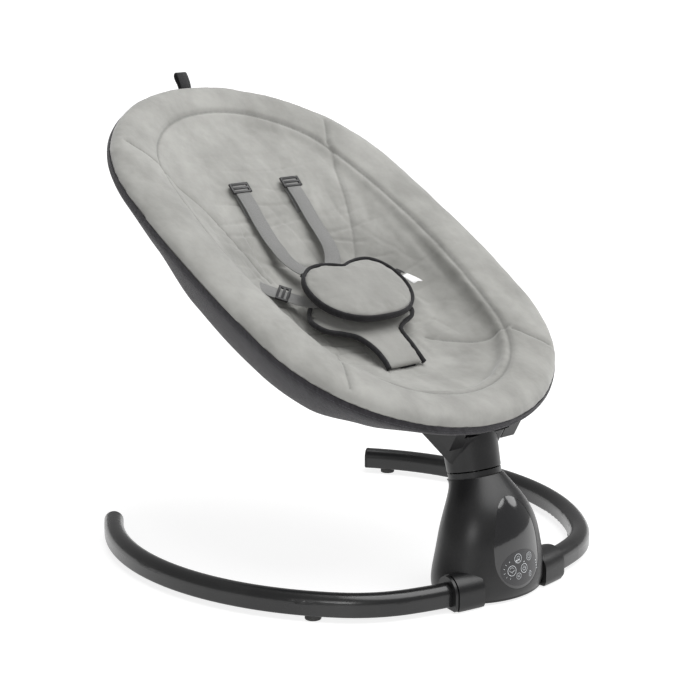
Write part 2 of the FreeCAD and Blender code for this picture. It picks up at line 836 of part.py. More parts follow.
def sling_hem():
    """Dark hem of the sling round the underside of the hoop, open over the bracket."""
    section = disc(hem_radius).cut(disc(hoop_tube_radius + soft_gap))
    section = section.cut(xz_face(-50, 50, roll_edge - soft_gap, 50))
    half = swept_oval(section)
    hem = fuse(half, foot_half(half))
    return hem.cut(box(-hem_opening, hem_opening, -hoop_half_length - 40, -hoop_half_length + 120, -60, 60))


def xz_face(x0, x1, z0, z1):
    corners = [V(x0, 0, z0), V(x1, 0, z0), V(x1, 0, z1), V(x0, 0, z1)]
    return Part.Face(Part.makePolygon(corners + corners[:1]))


def bowl(levels, grow=0.0, lower=0.0):
    """Solid bounded by ovals at falling levels, grown outwards and lowered."""
    wires = [oval_wire(length + grow, width + grow, end + grow, middle, level - lower)
             for level, length, width, end, middle in levels]
    return Part.makeLoft(wires, True, True)


def grown_slab(grow, low, high):
    """Level slab as large as the room inside the roll, grown outwards."""
    wire = oval_wire(inner_half_length + grow, inner_half_width + grow, inner_end_radius + grow, 0, low)
    return Part.Face(wire).extrude(V(0, 0, high - low))


def seat_pad():
    """Padded cover inside the roll, with the bucket's hollow."""
    rim = grown_slab(0, sling_top, pad_top)
    return fuse(bowl(underside_levels), rim).cut(bowl(hollow_levels)).cut(crotch_slot(soft_gap))


def back_sling():
    """Dark fabric shell under the pad."""
    room = sling_thickness + soft_gap
    rim_low = sling_top - room
    rim = grown_slab(sling_rim + soft_gap, rim_low, roll_edge - 1.0)
    shell = fuse(bowl(underside_levels, room, room), rim)
    inner = grown_slab(soft_gap, sling_top - soft_gap, 10)
    return shell.cut(bowl(underside_levels, soft_gap, soft_gap)).cut(inner).cut(crotch_slot(soft_gap))


def collar_solid(grow):
    low = collar_gap / 2
    height = collar_length - low + grow
    cone = Part.makeCone(collar_radius + grow, collar_top_radius + grow, height, V(0, 0, low), up)
    return spindle_in_seat(fuse(cone, rod(collar_radius + grow, (0, 0, -60), (0, 0, low))))


def seat_bracket():
    """Carrier on the collar: saddles for the hoop in front, a ribbed tongue behind."""
    front = -hoop_half_length - 6
    block = box(-bracket_half_width, bracket_half_width, front, bracket_rear, bracket_low, bracket_high)
    block = softened(block, 10.0, lambda edge: edge.BoundBox.ZLength > 40)
    arms = [box(x0, x1, front + 1, front + 34, -44, -1.0)
            for x0, x1 in ((arm_inner_x - 6, arm_outer_x), (-arm_outer_x, 6 - arm_inner_x))]
    arms = [arm.cut(box(-arm_inner_x, arm_inner_x, front, front + 40, bracket_high, 0)) for arm in arms]
    body = fuse(block, *arms)
    for index in range(rib_count - 1):
        step = 2 * (bracket_half_width - rib_thickness) / (rib_count - 1)
        x = -bracket_half_width + rib_thickness + index * step
        body = body.cut(box(x + rib_thickness / 2, x + step - rib_thickness / 2,
                            bracket_rear - 22, bracket_rear + 1, bracket_low - 1, bracket_low + 14))
    hoop = foot_half(swept_oval(disc(hoop_tube_radius + slip / 2)))
    room = sling_thickness + 2 * soft_gap
    rim = grown_slab(sling_rim + 2 * soft_gap, sling_top - room, 0)
    sling = fuse(bowl(underside_levels, room, room), rim)
    roll = foot_half(swept_oval(disc(roll_radius + soft_gap).cut(xz_face(-50, 50, -50, roll_edge))))
    for shape in (hoop, sling, roll, collar_solid(slip / 2)):
        body = body.cut(shape)
    for shape in bracket_screw_pair(0):
        body = body.cut(shape)
    return body


def bracket_screw_pair(grow):
    """Screws that pull the hoop into its saddles."""
    reach = hoop_half_length - hoop_end_radius
    y = -reach - sqrt(hoop_end_radius ** 2 - bracket_screw_x ** 2)
    pair = []
    for x in (-bracket_screw_x, bracket_screw_x):
        head = rod(5.0 + grow, (x, y, -44), (x, y, -40))
        stem = rod(2.5 + grow, (x, y, -44), (x, y, -hoop_tube_radius + 5))
        pair.append(fuse(head, stem))
    return pair


def bracket_screws():
    return Part.makeCompound(bracket_screw_pair(0))


def ribbon(points, width, thickness):
    """Flat band in the YZ plane through points (along, height), centred on x = 0."""
    rims = ([], [])
    for index, (y, z) in enumerate(points):
        before = points[max(index - 1, 0)]
        after = points[min(index + 1, len(points) - 1)]
        dy, dz = after[0] - before[0], after[1] - before[1]
        size = sqrt(dy * dy + dz * dz)
        ny, nz = -dz / size * thickness / 2, dy / size * thickness / 2
        rims[0].append(V(-width / 2, y + ny, z + nz))
        rims[1].append(V(-width / 2, y - ny, z - nz))
    outline = rims[0] + rims[1][::-1]
    return Part.Face(Part.makePolygon(outline + outline[:1])).extrude(V(width, 0, 0))


def strap_place(shape):
    """Place a shape built along -Y from the adjuster onto the right shoulder strap."""
    moved = placed(shape, strap_slope, V(0, 0, 0))
    moved.rotate(V(0, 0, 0), up, -strap_lean)
    moved.translate(V(shoulder_half_spacing, strap_start_s, strap_start_level))
    return moved


def strap_lead():
    """Last run of the strap, from its bend to the tongue."""
    start, end = V(*lead_start), V(*lead_end)
    run = end - start
    lead = ribbon([(6.0, 0), (-run.Length, 0)], webbing_width, webbing_thickness)
    lead = placed(lead, degrees(asin(-run.z / run.Length)), V(0, 0, 0))
    lead.rotate(V(0, 0, 0), up, -degrees(atan2(-run.x, -run.y)))
    lead.translate(start)
    return lead


def shoulder_strap():
    """Upper run from the adjuster to the buckle tongue, and the lower run back to the slit."""
    loop = adjuster_high + 2.0
    upper = ribbon([(loop, 0), (0, 0), (-60, 0), (strap_bend, 1.8)], webbing_width, webbing_thickness)
    low = -strap_run_gap
    lower = ribbon([(loop, low), (0, low), (-32, low), (-49, -7.6)], webbing_width, webbing_thickness)
    half = webbing_thickness / 2
    turn = box(-webbing_width / 2, webbing_width / 2, loop - half, loop + half, -strap_run_gap - half, half)
    return fuse(strap_place(fuse(upper, lower, turn)), strap_lead())


def strap_adjuster():
    """Three-bar slider round both runs of the strap."""
    half = webbing_thickness / 2 + strap_play
    width = webbing_width / 2 + strap_play
    low, high = -strap_run_gap - half, half
    body = box(-width - 3, width + 3, adjuster_low, adjuster_high, low - adjuster_wall, high + adjuster_wall)
    body = softened(body, 1.5, lambda edge: edge.BoundBox.ZLength > 8)
    body = body.cut(box(-width, width, adjuster_low - 1, adjuster_high + 1, low, high))
    bar = box(-width - 1, width + 1, adjuster_low + 6, adjuster_high - 5, half - strap_run_gap, -half)
    return strap_place(fuse(body, bar))


def crotch_slot(grow):
    half = webbing_width * 0.8 + grow
    return box(-half, half, crotch_s - 3 - grow, crotch_s + 3 + grow, -120, 40)


def crotch_pad():
    """Padded T: a tongue from the slot up to wings under the buckle."""
    tongue = ribbon([(crotch_s - 2, -39.0), (-170, -34), (-118, -41), (-76, -50)], 72, 9)
    wing = box(-62, 62, -100, -46, -58.5, -50.5)
    wing = softened(wing, 20, lambda edge: edge.BoundBox.ZLength > 7)
    pad = fuse(tongue, wing)
    return pad.cut(box(-14, 14, -76, -40, -70, -30))


def crotch_strap():
    """Band through the slot, folded flat under the sling."""
    half = webbing_thickness / 2
    rise = box(-webbing_width / 2, webbing_width / 2, crotch_s - half, crotch_s + half, strap_fold_low, -44.4)
    fold = box(-webbing_width / 2, webbing_width / 2, crotch_s - 8, crotch_s + 8,
               strap_fold_low, strap_fold_low + webbing_thickness)
    return fuse(rise, fold)


def buckle():
    """Centre buckle with tongue slots and a round press button."""
    top = buckle_low + buckle_height
    half = buckle_length / 2
    shell = box(-buckle_width / 2, buckle_width / 2, buckle_s - half, buckle_s + half,
                buckle_low, top)
    shell = softened(shell, 12, lambda edge: edge.BoundBox.ZLength > 10)
    shell = softened(shell, 2, lambda edge: lies_at(edge, "z", top))
    well = rod(button_radius + slip, (0, buckle_s, top - button_travel - 4.5), (0, buckle_s, top + 1))
    shell = shell.cut(well)
    for side in (1, -1):
        for name in tongues:
            shell = shell.cut(tongue_blade(name, side, slip))
    return shell


def tongue_blade(name, side, grow):
    x, y, angle = tongues[name]
    middle = buckle_low + 5.0
    thin = 1.4 + grow
    blade = box(-blade_inside - grow, tongue_head_start + 1, -6 - grow, 6 + grow, middle - thin, middle + thin)
    blade.rotate(V(0, 0, 0), up, angle)
    blade.translate(V(x, y, 0))
    return blade if side > 0 else mirrored(blade)


def tongue(name):
    x, y, angle = tongues[name]
    middle = buckle_low + 5.0
    half = webbing_width / 2 + 3
    head = box(tongue_head_start, tongue_length, -half, half, middle - 2.6, middle + 2.6)
    head = softened(head, 4, lambda edge: edge.BoundBox.ZLength > 5 and not lies_at(edge, "x", tongue_length))
    slot = box(tongue_length - 9, tongue_length - 4.5, -webbing_width / 2 - 0.5, webbing_width / 2 + 0.5,
               middle - 4, middle + 4)
    head = head.cut(slot)
    head.rotate(V(0, 0, 0), up, angle)
    head.translate(V(x, y, 0))
    return fuse(head, tongue_blade(name, 1, 0))


def release_button():
    top = buckle_low + buckle_height
    button = rod(button_radius, (0, buckle_s, top - 4.0), (0, buckle_s, top + 1.2))
    return softened(button, 1.0, lambda edge: lies_at(edge, "z", top + 1.2))


def waist_strap():
    """From the tongue out to the side of the bucket."""
    x, y, angle = tongues["waist"]
    middle = buckle_low + 5.0
    strap = ribbon([(tongue_length + slip, 0), (tongue_length + 40, -1.5), (tongue_length + 80, 0.4)],
                   webbing_width, webbing_thickness)
    strap.rotate(V(0, 0, 0), up, -90 + angle)
    strap.translate(V(x, y, middle))
    return strap


def bean_pad():
    """Kidney-shaped padded cover over the buckle, sewn by a tab to the crotch pad."""
    top = bean_low + bean_thickness
    lobes = [rod(lobe_radius, (x, bean_s, bean_low), (x, bean_s, top)) for x in (-lobe_x, lobe_x)]
    middle = box(-lobe_x, lobe_x, bean_s - lobe_radius - 3, bean_s + lobe_radius - 12, bean_low, top)
    pad = fuse(middle, *lobes)
    pad = softened(pad, 3.5, lambda edge: lies_at(edge, "z", top))
    return fuse(pad, box(-14, 14, bean_s - 44, bean_s - 36, bean_tab_low, bean_low + 1))


def care_label():
    return box(86, 110, bean_s - 4, bean_s + 22, bean_low - 1.4, bean_low - 0.4)


def head_loop():
    """Short webbing loop sewn to the head end of the cover."""
    y0 = hoop_half_length + 8
    outer = box(-9, 9, y0, y0 + 26, 12, 24)
    inner = box(-10, 10, y0 + 6, y0 + 24.4, 13.6, 22.4)
    return outer.cut(inner).cut(foot_half(foot_half(swept_oval(disc(roll_radius + soft_gap)))))


# ---------------------------------------------------------------- build
def build():
    shell = housing_shell()
    tube = base_tube()
    cap = tube_cap()
    sleeve = socket_sleeve()
    hoop = hoop_tube()
    spigot = hoop_connector()
    strap = shoulder_strap()
    slider = strap_adjuster()
    waist = waist_strap()
    parts = {
        "right_base_tube": tube,
        "left_base_tube": mirrored(tube.copy()),
        "base_joiner": base_joiner(),
        "tube_screws": Part.makeCompound([tube_screw(0), mirrored(tube_screw(0))]),
        "right_tube_cap": cap,
        "left_tube_cap": mirrored(cap),
        "right_front_foot": rubber_foot(near_foot_turn),
        "left_front_foot": mirrored(rubber_foot(near_foot_turn)),
        "right_rear_foot": rubber_foot(far_foot_turn),
        "left_rear_foot": mirrored(rubber_foot(far_foot_turn)),
        "rest_pad": rest_pad(),
        "base_plate": base_plate(),
        "front_housing": front_housing(shell),
        "rear_housing": rear_housing(shell),
        "right_socket_sleeve": sleeve,
        "left_socket_sleeve": mirrored(sleeve),
        "control_panel": control_panel(),
        "touch_pad": touch_pad(),
        "control_board": control_board(),
        "speaker": speaker(),
        "dc_inlet": dc_inlet(),
        "chassis": chassis(),
        "chassis_screws": leg_screws(),
        "neck_ring": neck_ring(),
        "lower_bearing": bearing(chassis_level),
        "upper_bearing": bearing(upper_bearing_level),
        "motor": motor(),
        "motor_bracket": motor_bracket(),
        "motor_shaft": motor_shaft(),
        "drive_pinion": drive_pinion(),
        "swing_shaft": swing_shaft(),
        "sector_gear": sector_gear(),
        "swivel_collar": swivel_collar(),
        "seat_bracket": on_seat(seat_bracket()),
        "bracket_screws": on_seat(bracket_screws()),
        "upper_hoop_tube": on_seat(hoop),
        "lower_hoop_tube": on_seat(lower_hoop()),
        "right_hoop_connector": on_seat(spigot),
        "left_hoop_connector": on_seat(mirrored(spigot)),
        "rim_roll": on_seat(rim_roll()),
        "sling_hem": on_seat(sling_hem()),
        "seat_pad": on_seat(seat_pad()),
        "back_sling": on_seat(back_sling()),
        "right_shoulder_strap": on_seat(strap),
        "left_shoulder_strap": on_seat(mirrored(strap)),
        "right_strap_adjuster": on_seat(slider),
        "left_strap_adjuster": on_seat(mirrored(slider)),
        "right_shoulder_tongue": on_seat(tongue("shoulder")),
        "left_shoulder_tongue": on_seat(mirrored(tongue("shoulder"))),
        "right_waist_tongue": on_seat(tongue("waist")),
        "left_waist_tongue": on_seat(mirrored(tongue("waist"))),
        "right_waist_strap": on_seat(waist),
        "left_waist_strap": on_seat(mirrored(waist)),
        "buckle": on_seat(buckle()),
        "release_button": on_seat(release_button()),
        "crotch_pad": on_seat(crotch_pad()),
        "crotch_strap": on_seat(crotch_strap()),
        "buckle_pad": on_seat(bean_pad()),
        "care_label": on_seat(care_label()),
        "head_loop": on_seat(head_loop()),
    }
    os.makedirs("parts", exist_ok=True)
    for name, shape in parts.items():
        solids = shape.Solids
        size = f"{shape.Volume / 1000:9.2f} cm3"
        print(f"{name:24s} solids {len(solids)}  volume {size}  valid {shape.isValid()}")
        Part.makeCompound(solids).exportStep(f"parts/{name}.step")


build()
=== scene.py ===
import bmesh
import bpy
from math import atan2, cos, exp, hypot, pi, radians, sin, sqrt
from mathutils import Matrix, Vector, noise
from mathutils.bvhtree import BVHTree
from mathutils.kdtree import KDTree


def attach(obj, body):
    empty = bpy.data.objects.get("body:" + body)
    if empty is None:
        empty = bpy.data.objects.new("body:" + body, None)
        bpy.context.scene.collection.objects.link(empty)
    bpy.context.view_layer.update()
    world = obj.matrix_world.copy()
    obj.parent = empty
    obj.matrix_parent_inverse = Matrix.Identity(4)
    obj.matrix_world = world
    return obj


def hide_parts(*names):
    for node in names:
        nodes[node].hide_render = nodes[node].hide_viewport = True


# Baby swing: padded oval seat on a leaning spindle above a C-shaped floor ring.
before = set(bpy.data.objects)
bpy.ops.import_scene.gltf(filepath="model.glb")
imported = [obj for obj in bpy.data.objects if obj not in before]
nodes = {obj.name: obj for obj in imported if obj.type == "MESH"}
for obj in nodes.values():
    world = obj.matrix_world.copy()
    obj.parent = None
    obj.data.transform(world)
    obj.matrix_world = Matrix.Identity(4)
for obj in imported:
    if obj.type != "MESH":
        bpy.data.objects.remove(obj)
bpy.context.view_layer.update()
scene = bpy.context.scene
print("stage: frame loaded,", len(nodes), "nodes")


# camera, floor and light
cameraSettings = {
    "target": (0, 0.28516, 0.28311),
    "azimuth": -41.62,
    "elevation": 13.3,
    "distance": 2.86356,
    "lens": 102.86,
}


def placeCamera(s):
    data = bpy.data.cameras.new("camera")
    data.sensor_width = 36
    data.lens = s["lens"]
    cam = bpy.data.objects.new("camera", data)
    scene.collection.objects.link(cam)
    a, e = radians(s["azimuth"]), radians(s["elevation"])
    away = Vector((sin(a) * cos(e), -cos(a) * cos(e), sin(e)))
    cam.location = Vector(s["target"]) + away * s["distance"]
    cam.rotation_euler = away.to_track_quat("Z", "Y").to_euler()
    scene.camera = cam


studioSettings = {
    "floorHalf": 40.0,
    "floorGlow": 0.8,
    "backdrop": 1.08,
    "roomLight": 0.34,
    "sun": ((0.25, -0.35, 1.0), 2.5, 55),
    "lights": (  # name, place, size, watts
        ("softTop", (0.5, 0.5, 2.6), 1.6, 14),
        ("softLeft", (-2.4, -1.6, 1.3), 1.1, 16),
        ("softRight", (2.2, -1.0, 1.7), 1.2, 10),
    ),
}


def buildStudio(s):
    half = s["floorHalf"]
    mesh = bpy.data.meshes.new("floor")
    mesh.from_pydata([(-half, -half, 0), (half, -half, 0), (half, half, 0), (-half, half, 0)], [], [(0, 1, 2, 3)])
    floor = bpy.data.objects.new("floor", mesh)
    scene.collection.objects.link(floor)
    paper = bpy.data.materials.new("palePaper")
    paper.use_nodes = True
    shade = paper.node_tree.nodes["Principled BSDF"]
    shade.inputs["Base Color"].default_value = (0.34, 0.34, 0.34, 1)
    shade.inputs["Roughness"].default_value = 0.42
    shade.inputs["Specular IOR Level"].default_value = 0.35
    shade.inputs["Emission Color"].default_value = (1, 1, 1, 1)
    shade.inputs["Emission Strength"].default_value = s["floorGlow"]
    mesh.materials.append(paper)
    world = bpy.data.worlds.new("studio")
    world.use_nodes = True
    tree = world.node_tree
    room = tree.nodes["Background"]
    room.inputs["Color"].default_value = (1, 1, 1, 1)
    seen = tree.nodes.new("ShaderNodeLightPath").outputs["Is Camera Ray"]
    level = tree.nodes.new("ShaderNodeMapRange")
    level.inputs["To Min"].default_value = s["roomLight"]
    level.inputs["To Max"].default_value = s["backdrop"]
    tree.links.new(seen, level.inputs["Value"])
    tree.links.new(level.outputs["Result"], room.inputs["Strength"])
    scene.world = world
    toward, strength, spread = s["sun"]
    sun = bpy.data.lights.new("sun", "SUN")
    sun.energy = strength
    sun.angle = radians(spread)
    lamp = bpy.data.objects.new("sun", sun)
    scene.collection.objects.link(lamp)
    lamp.rotation_euler = Vector(toward).to_track_quat("Z", "Y").to_euler()
    for name, place, size, watts in s["lights"]:
        light = bpy.data.lights.new(name, "AREA")
        light.shape = "DISK"
        light.size = size
        light.energy = watts
        lamp = bpy.data.objects.new(name, light)
        scene.collection.objects.link(lamp)
        lamp.location = place
        lamp.rotation_euler = (Vector(place) - Vector((0, 0.25, 0.3))).to_track_quat("Z", "Y").to_euler()
    scene.view_settings.view_transform = "Standard"
    scene.view_settings.look = "None"


placeCamera(cameraSettings)
buildStudio(studioSettings)
print("stage: camera and studio")


# shader groups
def newGroup(name, inputs, outputs):
    tree = bpy.data.node_groups.new(name, "ShaderNodeTree")
    for label, value in inputs:
        kind = "NodeSocketColor" if isinstance(value, tuple) else "NodeSocketFloat"
        socket = tree.interface.new_socket(label, in_out="INPUT", socket_type=kind)
        socket.default_value = value
    for label, kind in outputs:
        tree.interface.new_socket(label, in_out="OUTPUT", socket_type=kind)
    return tree, tree.nodes.new("NodeGroupInput"), tree.nodes.new("NodeGroupOutput")


def addNode(tree, kind, settings=None, **values):
    node = tree.nodes.new(kind)
    for key, value in (settings or {}).items():
        setattr(node, key, value)
    for key, value in values.items():
        socket = node.inputs[int(key[1:])] if key[0] == "i" and key[1:].isdigit() else node.inputs[key]
        if isinstance(value, bpy.types.NodeSocket):
            tree.links.new(value, socket)
        else:
            socket.default_value = value
    return node


def maths(tree, operation, a, b=0.0):
    return addNode(tree, "ShaderNodeMath", {"operation": operation}, i0=a, i1=b).outputs[0]


def mixColor(tree, factor, a, b):
    return addNode(tree, "ShaderNodeMix", {"data_type": "RGBA"}, i0=factor, i6=a, i7=b).outputs[2]


def noiseOf(tree, vector, scale, detail=2.0, roughness=0.5):
    values = {"Vector": vector, "Scale": scale, "Detail": detail, "Roughness": roughness}
    return addNode(tree, "ShaderNodeTexNoise", None, **values).outputs[0]


def stretchVector(tree, vector, scale):
    return addNode(tree, "ShaderNodeMapping", None, Vector=vector, Scale=scale).outputs[0]


def objectCoordinates(tree):
    return tree.nodes.new("ShaderNodeTexCoord").outputs["Object"]



def dustGroup():  # pale dust and handling marks in broad patches
    tree, given, out = newGroup("handlingDust", [("Base", (0.1, 0.1, 0.1, 1)), ("Amount", 0.1), ("Scale", 9.0)],
                                [("Color", "NodeSocketColor"), ("Mask", "NodeSocketFloat")])
    place = objectCoordinates(tree)
    cloud = noiseOf(tree, place, given.outputs["Scale"], 5.0, 0.6)
    speck = noiseOf(tree, place, 900.0, 1.0)
    broad = addNode(tree, "ShaderNodeMapRange", None, Value=cloud, i1=0.42, i2=0.75).outputs[0]
    grains = addNode(tree, "ShaderNodeMapRange", None, Value=speck, i1=0.60, i2=0.80).outputs[0]
    marks = maths(tree, "ADD", maths(tree, "MULTIPLY", broad, 0.6), grains)
    mask = maths(tree, "MULTIPLY", marks, given.outputs["Amount"])
    tree.links.new(mixColor(tree, mask, given.outputs["Base"], (0.62, 0.61, 0.58, 1)), out.inputs["Color"])
    tree.links.new(mask, out.inputs["Mask"])
    return tree


def mouldGrainGroup():  # fine spark-eroded grain of moulded plastic, with slow gloss changes
    tree, given, out = newGroup("mouldGrain", [("Scale", 1500.0), ("Gloss", 0.4), ("Spread", 0.08), ("Depth", 0.25)],
                                [("Roughness", "NodeSocketFloat"), ("Normal", "NodeSocketVector")])
    place = objectCoordinates(tree)
    fine = noiseOf(tree, place, given.outputs["Scale"], 2.0)
    slow = noiseOf(tree, place, 14.0, 3.0)
    swing = maths(tree, "MULTIPLY", maths(tree, "SUBTRACT", slow, 0.5), given.outputs["Spread"])
    bump = addNode(tree, "ShaderNodeBump", None, Strength=given.outputs["Depth"], Height=fine, Distance=0.0002)
    tree.links.new(maths(tree, "ADD", given.outputs["Gloss"], swing), out.inputs["Roughness"])
    tree.links.new(bump.outputs[0], out.inputs["Normal"])
    return tree


def pileGroup():  # short velour pile: brushed patches, fine fibres, shallow body wrinkles, painted shade along seams and creases
    tree, given, out = newGroup(
        "velourPile",
        [("Light", (0.5, 0.5, 0.48, 1)), ("Dark", (0.36, 0.36, 0.34, 1)), ("Seam", 0.0), ("Brushing", 0.6)],
        [("Color", "NodeSocketColor"), ("Roughness", "NodeSocketFloat"), ("Normal", "NodeSocketVector")])
    place = objectCoordinates(tree)
    brushed = noiseOf(tree, stretchVector(tree, place, (1.0, 0.55, 0.8)), 17.0, 4.0, 0.62)
    cloud = noiseOf(tree, place, 5.0, 2.0)
    fibre = noiseOf(tree, place, 1300.0, 3.0, 0.7)
    tuft = noiseOf(tree, place, 320.0, 3.0, 0.6)
    patch = addNode(tree, "ShaderNodeMapRange", None, Value=brushed, i1=0.35, i2=0.68).outputs[0]
    brushed = maths(tree, "ADD", patch, maths(tree, "MULTIPLY", cloud, 0.6))
    lay = maths(tree, "MULTIPLY", brushed, given.outputs["Brushing"])
    nap = mixColor(tree, lay, given.outputs["Dark"], given.outputs["Light"])
    speckled = mixColor(tree, maths(tree, "MULTIPLY", fibre, 0.22), nap, given.outputs["Dark"])
    # painted shade: the pile darkens towards near-black along the seam grooves and creases
    seamShadeMix = maths(tree, "MULTIPLY", given.outputs["Seam"], 0.55)
    tree.links.new(mixColor(tree, seamShadeMix, speckled, (0.10, 0.10, 0.095, 1)), out.inputs["Color"])
    tree.links.new(maths(tree, "ADD", maths(tree, "MULTIPLY", patch, -0.10), 0.95), out.inputs["Roughness"])
    height = maths(tree, "ADD", maths(tree, "MULTIPLY", fibre, 0.35), maths(tree, "MULTIPLY", tuft, 0.65))
    small = addNode(tree, "ShaderNodeBump", None, Strength=0.35, Height=height, Distance=0.0006)
    fold = noiseOf(tree, stretchVector(tree, place, (1.0, 1.6, 1.3)), 26.0, 3.0, 0.45)
    soft = addNode(tree, "ShaderNodeBump", None, Strength=0.22, Height=fold, Distance=0.006, Normal=small.outputs[0])
    tree.links.new(soft.outputs[0], out.inputs["Normal"])
    return tree


def weaveGroup():  # crossed yarns, from two wave textures out of step
    tree, given, out = newGroup(
        "plainWeave",
        [("Warp", (0.06, 0.055, 0.06, 1)), ("Weft", (0.09, 0.085, 0.09, 1)), ("Yarns", 420.0), ("Depth", 0.5)],
        [("Color", "NodeSocketColor"), ("Roughness", "NodeSocketFloat"), ("Normal", "NodeSocketVector")])
    place = objectCoordinates(tree)
    yarns = {"Vector": place, "Scale": given.outputs["Yarns"]}
    across, along, rise = (
        addNode(tree, "ShaderNodeTexWave", {"bands_direction": axis}, **yarns).outputs[1] for axis in "XYZ")
    height = maths(tree, "ADD", maths(tree, "MAXIMUM", across, along), maths(tree, "MULTIPLY", rise, 0.6))
    slub = noiseOf(tree, stretchVector(tree, place, (1, 6, 1)), 60.0, 4.0)
    slubPatch = addNode(tree, "ShaderNodeMapRange", None, Value=slub, i1=0.35, i2=0.7).outputs[0]
    # colour moves from the warp tone to the lighter weft tone where yarns stand high inside slub patches
    tint = mixColor(tree, maths(tree, "MULTIPLY", slubPatch, height), given.outputs["Warp"], given.outputs["Weft"])
    bump = addNode(tree, "ShaderNodeBump", None, Strength=given.outputs["Depth"], Height=height, Distance=0.0004)
    tree.links.new(tint, out.inputs["Color"])
    tree.links.new(maths(tree, "ADD", maths(tree, "MULTIPLY", height, -0.12), 0.92), out.inputs["Roughness"])
    tree.links.new(bump.outputs[0], out.inputs["Normal"])
    return tree


def webbingGroup():  # ribs along the band and fine picks across it, on the piece's own UV map; the low parts between ribs and picks get painted shade
    tree, given, out = newGroup(
        "ribbedWebbing",
        [("Base", (0.3, 0.3, 0.3, 1)), ("Ribs", 11.0), ("Picks", 900.0), ("Depth", 0.6)],
        [("Color", "NodeSocketColor"), ("Roughness", "NodeSocketFloat"), ("Normal", "NodeSocketVector")])
    uv = addNode(tree, "ShaderNodeUVMap", {"uv_map": "band"}).outputs[0]
    parts = addNode(tree, "ShaderNodeSeparateXYZ", None, Vector=uv)
    ribPhase = maths(tree, "MULTIPLY", parts.outputs[0], maths(tree, "MULTIPLY", given.outputs["Ribs"], 2 * pi))
    pickPhase = maths(tree, "MULTIPLY", parts.outputs[1], maths(tree, "MULTIPLY", given.outputs["Picks"], 2 * pi))
    rib = maths(tree, "ABSOLUTE", maths(tree, "SINE", ribPhase))
    shifted = maths(tree, "ADD", pickPhase, maths(tree, "MULTIPLY", rib, 1.6))
    pick = maths(tree, "ABSOLUTE", maths(tree, "SINE", shifted))
    height = maths(tree, "ADD", maths(tree, "MULTIPLY", rib, 0.65), maths(tree, "MULTIPLY", pick, 0.35))
    fuzz = noiseOf(tree, objectCoordinates(tree), 700.0, 3.0)
    # painted shade: colour darkens where rib and pick height is low, mixed with random fibre tone
    shade = maths(tree, "ADD", maths(tree, "MULTIPLY", height, 0.45), maths(tree, "MULTIPLY", fuzz, 0.5))
    dark = mixColor(tree, 0.55, given.outputs["Base"], (0.02, 0.02, 0.02, 1))
    tree.links.new(mixColor(tree, shade, dark, given.outputs["Base"]), out.inputs["Color"])
    tree.links.new(maths(tree, "SUBTRACT", 0.95, maths(tree, "MULTIPLY", rib, 0.2)), out.inputs["Roughness"])
    bump = addNode(tree, "ShaderNodeBump", None, Strength=given.outputs["Depth"], Height=height, Distance=0.0005)
    tree.links.new(bump.outputs[0], out.inputs["Normal"])
    return tree


groups = {
    "dust": dustGroup(),
    "grain": mouldGrainGroup(),
    "pile": pileGroup(),
    "weave": weaveGroup(),
    "webbing": webbingGroup(),
}


def useGroup(tree, key, **values):
    node = tree.nodes.new("ShaderNodeGroup")
    node.node_tree = groups[key]
    for label, value in values.items():
        if isinstance(value, bpy.types.NodeSocket):
            tree.links.new(value, node.inputs[label])
        else:
            node.inputs[label].default_value = value
    return node


def newMaterial(name, **plain):
    mat = bpy.data.materials.new(name)
    mat.use_nodes = True
    shader = mat.node_tree.nodes["Principled BSDF"]
    for label, value in plain.items():
        shader.inputs[label.replace("_", " ")].default_value = value
    return mat, mat.node_tree, shader


def connect(tree, source, shader, *labels):
    for label in labels:
        target = {"Color": "Base Color"}.get(label, label)
        tree.links.new(source.outputs[label], shader.inputs[target])


def plasticMaterial(name, color, gloss, depth=0.25, dust=0.06, coat=0.0, grain=1500.0):
    mat, tree, shader = newMaterial(name, Coat_Roughness=0.12, Specular_IOR_Level=0.42)
    shader.inputs["Coat Weight"].default_value = coat
    film = useGroup(tree, "dust", Base=(*color, 1), Amount=dust)
    texture = useGroup(tree, "grain", Gloss=gloss, Depth=depth, Scale=grain)
    connect(tree, film, shader, "Color")
    connect(tree, texture, shader, "Roughness", "Normal")
    return mat


def metalMaterial(name, color, gloss, grain=500.0):
    mat, tree, shader = newMaterial(name, Metallic=1.0)
    film = useGroup(tree, "dust", Base=(*color, 1), Amount=0.05)
    texture = useGroup(tree, "grain", Gloss=gloss, Depth=0.12, Scale=grain, Spread=0.2)
    connect(tree, film, shader, "Color")
    connect(tree, texture, shader, "Roughness", "Normal")
    return mat


def velourMaterial(name, light, dark, brushing=0.6):
    mat, tree, shader = newMaterial(name, Sheen_Weight=0.35, Sheen_Roughness=0.45, Specular_IOR_Level=0.15)
    # painted shade along the seam grooves and creases, read from the cover's attribute
    seamShadeMark = addNode(tree, "ShaderNodeAttribute", {"attribute_name": "seamCreaseShade"})
    pile = useGroup(tree, "pile", Light=(*light, 1), Dark=(*dark, 1), Seam=seamShadeMark.outputs["Fac"], Brushing=brushing)
    connect(tree, pile, shader, "Color", "Roughness", "Normal")
    return mat


def clothMaterial(name, warp, weft, yarns=420.0, depth=0.5, sheen=0.2):
    mat, tree, shader = newMaterial(name, Sheen_Roughness=0.5, Specular_IOR_Level=0.25)
    shader.inputs["Sheen Weight"].default_value = sheen
    weave = useGroup(tree, "weave", Warp=(*warp, 1), Weft=(*weft, 1), Yarns=yarns, Depth=depth)
    connect(tree, weave, shader, "Color", "Roughness", "Normal")
    return mat


def webbingMaterial(name, base, ribs=11.0):
    mat, tree, shader = newMaterial(name, Sheen_Weight=0.15, Specular_IOR_Level=0.3)
    band = useGroup(tree, "webbing", Base=(*base, 1), Ribs=ribs)
    connect(tree, band, shader, "Color", "Roughness", "Normal")
    return mat


